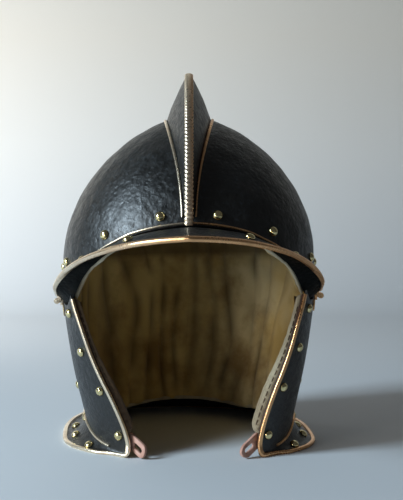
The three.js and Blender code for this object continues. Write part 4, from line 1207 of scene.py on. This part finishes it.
def rivet_heads(points, normals):
    """A dome on a low collar, with a short shank, turned once round and set on each place."""
    profile = np.array([[0, -SHANK_LENGTH], [SHANK_RADIUS, -SHANK_LENGTH], [SHANK_RADIUS, COLLAR_FOOT],
                        [HEAD_RADIUS * 0.97, COLLAR_FOOT], [HEAD_RADIUS, 0.35], [HEAD_RADIUS * 0.97, 0.8]])
    rise = np.linspace(0.2, 1, 8)
    angle = rise * math.pi / 2
    dome = np.stack([HEAD_RADIUS * np.cos(angle) ** 0.9, HEAD_RISE * np.sin(angle)], axis=-1)
    profile = np.concatenate([profile, dome])
    turn = angles_round(HEAD_SIDES)
    mesh = Mesh()
    for point, normal in zip(points, normals):
        aside = unit(np.cross(normal, [0.0, 0.31, 0.95]))
        ring = np.cos(turn)[:, None] * aside + np.sin(turn)[:, None] * np.cross(normal, aside)
        rings = point + profile[:, :1, None] * ring[None] + profile[:, 1:, None] * normal
        mesh.grid(rings, around=True)
    return mesh


def shell_rivets(rows, sign):
    """Rivets on the shell, on one side."""
    around, z = np.array(rows, float).T
    return rivet_heads(*on_shell(sign * around, z, 0.05))


def flange_rivets(rows, sign, surface):
    """Rivets on the upper face of a plate that stands out."""
    around, out = np.array(rows, float).T
    around = sign * around
    normals = normal_of(surface, around, out, 0.5, -0.02)
    normals[normals[:, 2] < 0] *= -1
    return rivet_heads(surface(around, out) + normals * (SMALL_PLATE / 2 + 0.3), normals)


def rivets():
    """Each row of rivets is one piece. The rivet at the middle of the back goes with the left row."""
    for side, sign in SIDES:
        skull_rows = SKULL_RIVETS + (MIDDLE_RIVET if sign > 0 else ())
        cheek_names = ("front_1", "front_2", "front_3", "front_4", "rear")
        rows = (
            ("skull", "helmet", shell_rivets(skull_rows, sign), range(1, 6)),
            ("peak", "helmet", flange_rivets(PEAK_RIVETS, sign, peak_point), range(1, 3)),
            ("neck", "helmet", flange_rivets(NECK_RIVETS, sign, neck_flange_point), range(1, 2)),
            ("cheek", f"cheek_{side}", shell_rivets(CHEEK_RIVETS, sign), cheek_names),
            ("flange", f"cheek_{side}", flange_rivets(CHEEK_FLANGE_RIVETS, sign, cheek_flange_point),
             range(1, 3)),
        )
        for row, body, mesh, names in rows:
            nodes = [f"rivet_{row}_{side}_{name}" for name in names]
            build(f"{row}_rivets_{side}", mesh, body, "rivet_brass", nodes)


rivets()


# Linings

LINING_OUT = -(SKULL_PLATE + SMALL_PLATE + 2 * GAP + 0.3)
LINING_SIDE_FOOT = 114.6
LINING_SEAM_SHIFT = -4.2
NAPE_HEM_DROP = 12.0
GATHERS = 28
GATHER_DEPTH = 3.4
FINE_DEPTH = 0.35
# Heights over which the painted shadow under the brow comes in on the lining's sides and back
BROW_SHADOW_BETWEEN = (143.0, 158.0)
HEM_RADIUS = 1.5


def gathers(around, z, seed):
    """How deep the cloth stands off, and how dark the painted shade in its creases is: soft upright folds
    that meet in creases, as the size of a sine round the bowl, whose place wanders, fading out towards the
    crown and at the middle of the nape, where the cloth is joined. Behind, a painted shadow under the brow
    also darkens the cloth towards the crown."""
    wander = waves(stack(around * 2.0, z * 0.5, 0.0), seed, 70.0)
    folds = np.abs(np.sin(np.radians(around * GATHERS / 2 + wander * 110)))
    finer = np.abs(np.sin(np.radians(around * GATHERS * 0.93 + wander * 210 + 40)))
    fade = (1 - smoothstep(z, 185, 262)) * (1 - smoothstep(folded(around), 174, 179.9))
    uneven = 0.75 + 0.5 * waves(stack(around, z, 0.0), seed + 1, 45.0)
    patchy = np.clip(0.55 + 0.9 * waves(stack(around * 2, z, 9.0), seed + 2, 38.0), 0, 1)
    # Painted shade: the creases darken
    crease = (1 - folds) * patchy * fade
    # Painted shadow under the brow, on the lining's sides and back
    brow_shadow = 1.4 * smoothstep(z, *BROW_SHADOW_BETWEEN) * smoothstep(folded(around), 80, 125)
    depth = GATHER_DEPTH * folds**0.9 + FINE_DEPTH * finer
    return depth * fade * uneven, np.maximum(crease, brow_shadow)


def lining_foot(turn):
    """Height of the skull lining's edge ahead of the seam."""
    return np.maximum(brow_edge(turn, "z") - peak_drop(turn), LINING_SIDE_FOOT)


def nape_hem(turn):
    """Height of the hem behind the seams: it hangs below the nape's foot."""
    return flange(turn, "base") - 4.0 - NAPE_HEM_DROP * smoothstep(turn, 100, 140)


def lining_hem(name, around, z, deep):
    """A rolled hem: a soft cord along the cloth's edge."""
    points = shell_point(around, z, LINING_OUT - deep)
    section = circle(HEM_RADIUS * (1 + 0.16 * waves(points, 27, 9.0)))
    return lay(name, "helmet", points, shell_normal(around, z), section, (), "linen_edge", "linen")


def skull_lining():
    """The cloth behind the bowl, gathered, with a rolled hem at the brow and at the nape."""
    out = LINING_OUT - LINING_THICK
    patches = bowl_patches(out, lining_foot, nape_hem, LINING_SIDE_FOOT, LINING_SEAM_SHIFT, 2, 60)
    mesh = Mesh()
    for index, (points, around, z) in enumerate(patches):
        around = (around + 180) % 360 - 180
        normals = shell_normal(around, np.minimum(z, CROWN_Z - 0.1))
        # crease carries the painted shade of the creases and under the brow
        deep, crease = gathers(around, z, 21)
        points = points - normals * deep[..., None]
        if index == 0:
            points[-1] = points[-1].mean(axis=0)
        mesh.grid(points, cloth_uv(around, z), index == 0, crease)
    cloth = build("skull_lining_cloth", mesh, "helmet", "linen", ["skull_lining"], 1.2, 1.0, 180.0)
    turns = np.linspace(-92, 92, 400)
    hems = [lining_hem("lining_hem_brow", turns, lining_foot(np.abs(turns)) + 0.5, 2.6)]
    seam = float(seam_around(np.array(18.0), 1.0))
    turns = np.linspace(seam, 360 - seam, 400)
    hems.append(lining_hem("lining_hem_nape", turns, nape_hem(folded(turns)) + 0.5, 3.4))


skull_lining()


ROLL_FOOT = 17.5
ROLL_TOP = CHEEK_CORNER_Z - 4.0
ROLL_START = 1.3
PAD_START = 3.4
STITCH_PITCH = 5.8
STITCH_LENGTH = 3.8
THREAD_RADIUS = 0.4


def cheek_linings():
    """A cloth behind each cheek plate, stretched from its rolled front edge back to the seam."""
    for side, sign in SIDES:
        share = across(73)
        foot = lerp(16.8, 22.0, share)
        turn = lerp(float(cheek_front(CHEEK_CORNER_Z, "around")), CHEEK_TOP_REAR, share)
        z = lerp(foot, cheek_top(turn) - 1.5, down(97))
        around = lerp(cheek_front(z, "around") + PAD_START, seam_around(z, -1.4), share)
        slack = 0.45 * waves(stack(around * 2, z, sign * 50.0), 33, 26.0)
        deep = lerp(3.2, 1.6, smoothstep(share, 0.1, 0.3)) + slack
        points = shell_point(sign * around, z, SOFT_SEAT - deep)
        mesh = Mesh().grid(points, cloth_uv(around, z))
        name = f"cheek_lining_cloth_{side}"
        body = f"cheek_{side}"
        piece = build(name, mesh, body, "linen", [f"cheek_lining_{side}"], 1.0, 1.0 * sign, 180.0)


cheek_linings()


def roll_radius(z, plump):
    """Half the thickness of the rolled edge: fuller below, with round ends."""
    full = plump * lerp(4.6, 2.2, smoothstep(z, 34, 105))
    foot_end = 1 - (1 - np.clip((z - ROLL_FOOT) / 7.0, 0, 1)) ** 2
    top_end = 1 - (1 - np.clip((ROLL_TOP - z) / 4.0, 0, 1)) ** 2
    return full * np.sqrt(np.maximum(foot_end * top_end, 0.02))


def lining_rolls():
    """The lining's front edge: cloth rolled over a stuffed core, pinched by a row of stitches."""
    for side, sign in SIDES:
        z = np.linspace(ROLL_FOOT, ROLL_TOP, 260)
        around = sign * (cheek_front(z, "around") + ROLL_START)
        radius = roll_radius(z, 1.05 if sign > 0 else 0.84)
        normals = shell_normal(around, z)
        centre = shell_point(around, z, SOFT_SEAT - 1.9 - radius)
        out, up = path_frames(centre, normals)
        ring = circle(1.0, 24)[0]
        puffs = np.abs(np.sin(math.pi * lengths_of(centre) / STITCH_PITCH))[:, None]
        ahead = unit(shell_point(around - sign, z, 0.0) - shell_point(around, z, 0.0))
        facing = unit(0.85 * ahead + 0.5 * normals)
        spokes = ring[None, :, :1] * out[:, None] + ring[None, :, 1:] * up[:, None]
        near = np.maximum(np.einsum("ijk,ik->ij", spokes, facing), 0) ** 4
        size = radius[:, None] * (1 - 0.16 * near * (1 - puffs))
        size = size * (1 + 0.05 * waves(centre[:, None] + spokes * 3.0, 37, 6.0))
        mesh = Mesh().sweep(centre, out, up, size[..., None] * ring[None])
        # The roll on the wearer's right, away from the window, gets the darker copy: painted shade
        cloth = "linen_edge" if sign > 0 else "linen_shaded"
        roll = build(f"lining_roll_{side}", mesh, f"cheek_{side}", cloth)
        path = centre + facing * (radius * 0.99)[:, None]
        sewn = (z > ROLL_FOOT + 5) & (z < ROLL_TOP - 6)
        mesh = stitches(path[sewn], facing[sewn])
        build(f"lining_stitches_{side}", mesh, f"cheek_{side}", "thread")


def stitches(points, normals):
    """Short threads laid end to end along a path: each is a thin tube that dips at both ends."""
    mesh = Mesh()
    lengths = lengths_of(points)
    t = np.linspace(-0.5, 0.5, 7)
    for start in np.arange(STITCH_PITCH / 2, lengths[-1] - STITCH_PITCH / 2, STITCH_PITCH):
        at = start + t * STITCH_LENGTH
        line = np.stack([np.interp(at, lengths, points[:, k]) for k in range(3)], axis=-1)
        up = unit(np.stack([np.interp(at, lengths, normals[:, k]) for k in range(3)], axis=-1))
        line = line + up * (0.3 - 2.0 * t[:, None] ** 2)
        out, up = path_frames(line, up)
        mesh.sweep(line, out, up, circle(THREAD_RADIUS, 7)[0])
    return mesh


lining_rolls()


def leather_bands():
    """A band of dark leather between the edging and the cloth, its edge just ahead of the plate's."""
    for side, sign in SIDES:
        z = down(121, 7, CHEEK_CORNER_Z - 3.0)
        share = across(9)
        around = cheek_front(z, "around") + lerp(-0.2, 6.2, share)
        deep = 0.95 + 0.1 * np.sin(math.pi * share) + 0.1 * waves(stack(around, z, 5.0), 41, 14.0)
        mesh = Mesh().grid(shell_point(sign * around, z, SOFT_SEAT - deep))
        name = f"leather_band_strip_{side}"
        build(name, mesh, f"cheek_{side}", "dark_leather", [f"leather_band_{side}"], LEATHER_THICK, 0.0)


leather_bands()


# Leather loops

TAB_LENGTH = 22.5
TAB_HEIGHT = 11.6
TAB_DIP = 26.0
TAB_LIFT = 8.6
TAB_THICK = 2.6
TAB_TURN = 8.0
TAB_CLEARANCE = 1.3
TAB_SLOT_WIDTH = 4.2
TAB_SLOT_LENGTH = 10.0
TAB_ROOT = 5.5
TAB_CURL = 1.1


def stadium(start, end, middle, radius, count=96):
    """Points round a bar with round ends, from its start to its end, at even angles of a turn."""
    turn = angles_round(count)
    centre = np.where(np.cos(turn) > 0, end, start)
    return np.stack([centre + radius * np.cos(turn), middle + radius * np.sin(turn)], axis=-1)


def squared_off(wave):
    """A sine or cosine with flattened tops, which makes a circle a box with round corners."""
    return np.sign(wave) * np.abs(wave) ** 0.35


def leather_loops():
    """A slotted tab at each cheek's tip: a rounded section carried round between tab edge and slot."""
    for side, sign in SIDES:
        radius = TAB_HEIGHT / 2
        outer = stadium(radius * 0.55, TAB_LENGTH - radius, radius, radius)
        outer[:, 1] = np.maximum(outer[:, 1], 0.05)
        slot_start = TAB_LENGTH - radius - (TAB_SLOT_LENGTH - TAB_SLOT_WIDTH)
        inner = stadium(slot_start, TAB_LENGTH - radius, radius, TAB_SLOT_WIDTH / 2)
        turn = angles_round(24)
        share = 0.5 - 0.5 * squared_off(np.cos(turn))
        thick = TAB_THICK / 2 * squared_off(np.sin(turn))
        flat = outer[None] + (inner - outer)[None] * share[:, None, None]
        seat = SOFT_SEAT - LEATHER_THICK - TAB_CLEARANCE - TAB_THICK / 2
        root = float(cheek_front(10.0, "around")) + TAB_ROOT
        start = shell_point(sign * root, 8.0, seat)
        end = shell_point(sign * (root - 8), 8.0, seat)
        along = end - start
        along[2] = 0
        along = unit(along)
        angle = math.radians(sign * TAB_TURN)
        along = np.array([along[0] * math.cos(angle) - along[1] * math.sin(angle),
                          along[0] * math.sin(angle) + along[1] * math.cos(angle), 0.0])
        aside = np.cross(along, [0.0, 0.0, 1.0])
        start[2] = TAB_LIFT
        dip = math.radians(TAB_DIP)
        high = along * math.sin(dip) + np.array([0.0, 0.0, math.cos(dip)])
        along = along * math.cos(dip) - np.array([0.0, 0.0, math.sin(dip)])
        curl = TAB_CURL * (flat[..., 0] / TAB_LENGTH) ** 2 * np.sin(flat[..., 1] / TAB_HEIGHT * math.pi)
        rings = (start + flat[..., :1] * along + flat[..., 1:] * high
                 + (thick[:, None] + curl)[..., None] * aside)
        rings[..., 2] = np.maximum(rings[..., 2], 0.05)
        rings = np.concatenate([rings, rings[:1]])
        mesh = Mesh().grid(rings, around=True)
        build(f"leather_tab_{side}", mesh, f"cheek_{side}", "tan_leather", [f"leather_loop_{side}"])


leather_loops()


# Hinges

def barrel(y_from, y_to, radius, sign, mesh):
    """A cylinder along the pin with softened ends."""
    z = HINGE_Z + float(lean_at(sign * HINGE_X, HINGE_Z))
    soft = min(0.35, radius * 0.3)
    profile = np.array([[y_from, 0.0], [y_from, radius - soft], [y_from + soft, radius],
                        [y_to - soft, radius], [y_to, radius - soft], [y_to, 0.0]])
    turn = angles_round(24)
    x = sign * HINGE_X + profile[:, 1:] * np.cos(turn)[None, :]
    points = stack(x, profile[:, :1] + 0 * x, z + profile[:, 1:] * np.sin(turn)[None, :])
    return mesh.grid(points, around=True)


def leaf(y_from, y_to, z_from, z_to, sign, mesh):
    """A thin plate on the helmet's wall between two places along it and two heights."""
    rows = down(7, z_from, z_to)
    y = across(19, y_from, y_to)
    _, front, rear = outline(rows)
    around = sign * (90 + np.degrees(np.arcsin(y / np.where(y < 0, front, rear))))
    around, rows = np.broadcast_arrays(around, rows)
    outer = shell_point(around, rows, 1.35)
    inner = shell_point(around, rows, 0.3)
    count, columns = rows.shape
    faces = grid_faces(count, columns) + grid_faces(count, columns, start=count * columns)
    border = np.concatenate([np.arange(columns), np.arange(1, count) * columns + columns - 1,
                             (count - 1) * columns + np.arange(columns - 2, -1, -1),
                             np.arange(count - 2, 0, -1) * columns])
    after = np.roll(border, -1)
    faces += np.stack([border, after, after + count * columns, border + count * columns], axis=-1).tolist()
    return mesh.add(np.concatenate([outer.reshape(-1, 3), inner.reshape(-1, 3)]), faces)


def tongue(y_from, y_to, z_from, z_to, sign, mesh):
    """A block that joins a knuckle to its leaf."""
    lift = float(lean_at(sign * HINGE_X, HINGE_Z))
    ends, heights = (y_from, y_to), (z_from, z_to)
    corners = np.array([[sign * x, y, z + lift] for x in TONGUE_X for y in ends for z in heights])
    faces = [[0, 1, 3, 2], [4, 6, 7, 5], [0, 4, 5, 1], [2, 3, 7, 6], [0, 2, 6, 4], [1, 5, 7, 3]]
    return mesh.add(corners, faces)


def hinges():
    """The upper half has the outer knuckles, and the pin's two ends stand out of them. The lower half
    has the middle knuckle."""
    third = (HINGE_BACK - HINGE_FRONT) / 3
    outer = ((HINGE_FRONT, HINGE_FRONT + third), (HINGE_BACK - third, HINGE_BACK))
    middle = ((HINGE_FRONT + third + GAP, HINGE_BACK - third - GAP),)
    pin_ends = ((HINGE_FRONT - PIN_SHOWS, HINGE_FRONT + 1), (HINGE_BACK - 1, HINGE_BACK + PIN_SHOWS))
    for side, sign in SIDES:
        for half, body, way, knuckles, pins in (
            ("upper", "helmet", 1.0, outer, pin_ends),
            ("lower", f"cheek_{side}", -1.0, middle, ()),
        ):
            near, far = HINGE_Z + way * LEAF_CLEAR, HINGE_Z + way * (LEAF_CLEAR + LEAF_HEIGHT)
            mesh = leaf(HINGE_FRONT, HINGE_BACK, min(near, far), max(near, far), sign, Mesh())
            for y_from, y_to in knuckles:
                barrel(y_from, y_to, KNUCKLE_RADIUS, sign, mesh)
                reach = sorted((HINGE_Z, near + way * 1.5))
                tongue(y_from + 0.4, y_to - 0.4, *reach, sign, mesh)
            for y_from, y_to in pins:
                barrel(y_from, y_to, PIN_RADIUS, sign, mesh)
            name = f"hinge_leaf_{half}_{side}"
            build(name, mesh, body, "brass", [f"hinge_{half}_{side}"], sharp=35)


hinges()


# Stage

FLOOR_END = 1000.0
WALL_BEND = 350.0
WALL_TOP = 3000.0
STAGE_HALF = 3500.0


def stage():
    """A pale floor that curves up into a wall behind the helmet."""
    depth = np.array([-3000, -1500, 0, 700, FLOOR_END])
    turn = np.linspace(0, math.pi / 2, 13)[1:]
    y = np.concatenate([depth, FLOOR_END + WALL_BEND * np.sin(turn), [FLOOR_END + WALL_BEND] * 2])
    z = np.concatenate([0 * depth, WALL_BEND * (1 - np.cos(turn)), [1200, WALL_TOP]])
    x = np.array([-STAGE_HALF, 0, STAGE_HALF])
    points = stack(x[None, :], y[:, None], z[:, None])
    data = bpy.data.meshes.new("backdrop")
    data.from_pydata((points.reshape(-1, 3) * MM).tolist(), [], grid_faces(len(y), len(x)))
    data.shade_smooth()
    data.materials.append(backdrop_finish())
    backdrop = bpy.data.objects.new("backdrop", data)
    bpy.context.scene.collection.objects.link(backdrop)


# A broad window at the camera's left, a lower one nearer the camera, and a lamp for the wall. Places
# and sizes in metres, power in watts.
LAMPS = (
    # name, place, target, size, power, color
    ("window", (-1.5, -0.62, 0.95), (0.0, 0.0, 0.16), (0.50, 0.66), 40.0, (0.70, 0.87, 1.0)),
    ("low_window", (-1.25, -1.1, 0.30), (0.03, 0.05, 0.12), (0.6, 0.45), 8.0, (1.0, 0.95, 0.86)),
    ("wall", (-0.95, 0.60, 0.38), (-0.5, 1.4, 0.20), (0.6, 0.4), 6.5, (1.0, 0.98, 0.94)),
)
AIR_COLOR = (0.86, 0.87, 0.90, 1.0)
AIR_STRENGTH = 0.07


def lamp(name, place, target, size, power, color):
    data = bpy.data.lights.new(name, "AREA")
    data.shape = "RECTANGLE"
    data.size, data.size_y = size
    data.energy = power
    data.color = color
    light = bpy.data.objects.new(name, data)
    light.location = place
    light.rotation_euler = (Vector(target) - Vector(place)).to_track_quat("-Z", "Y").to_euler()
    bpy.context.scene.collection.objects.link(light)


def lights():
    for row in LAMPS:
        lamp(*row)
    world = bpy.data.worlds.new("air")
    world.use_nodes = True
    background = world.node_tree.nodes["Background"]
    background.inputs["Color"].default_value = AIR_COLOR
    background.inputs["Strength"].default_value = AIR_STRENGTH
    bpy.context.scene.world = world
    bpy.context.scene.view_settings.view_transform = "Standard"


stage()
lights()
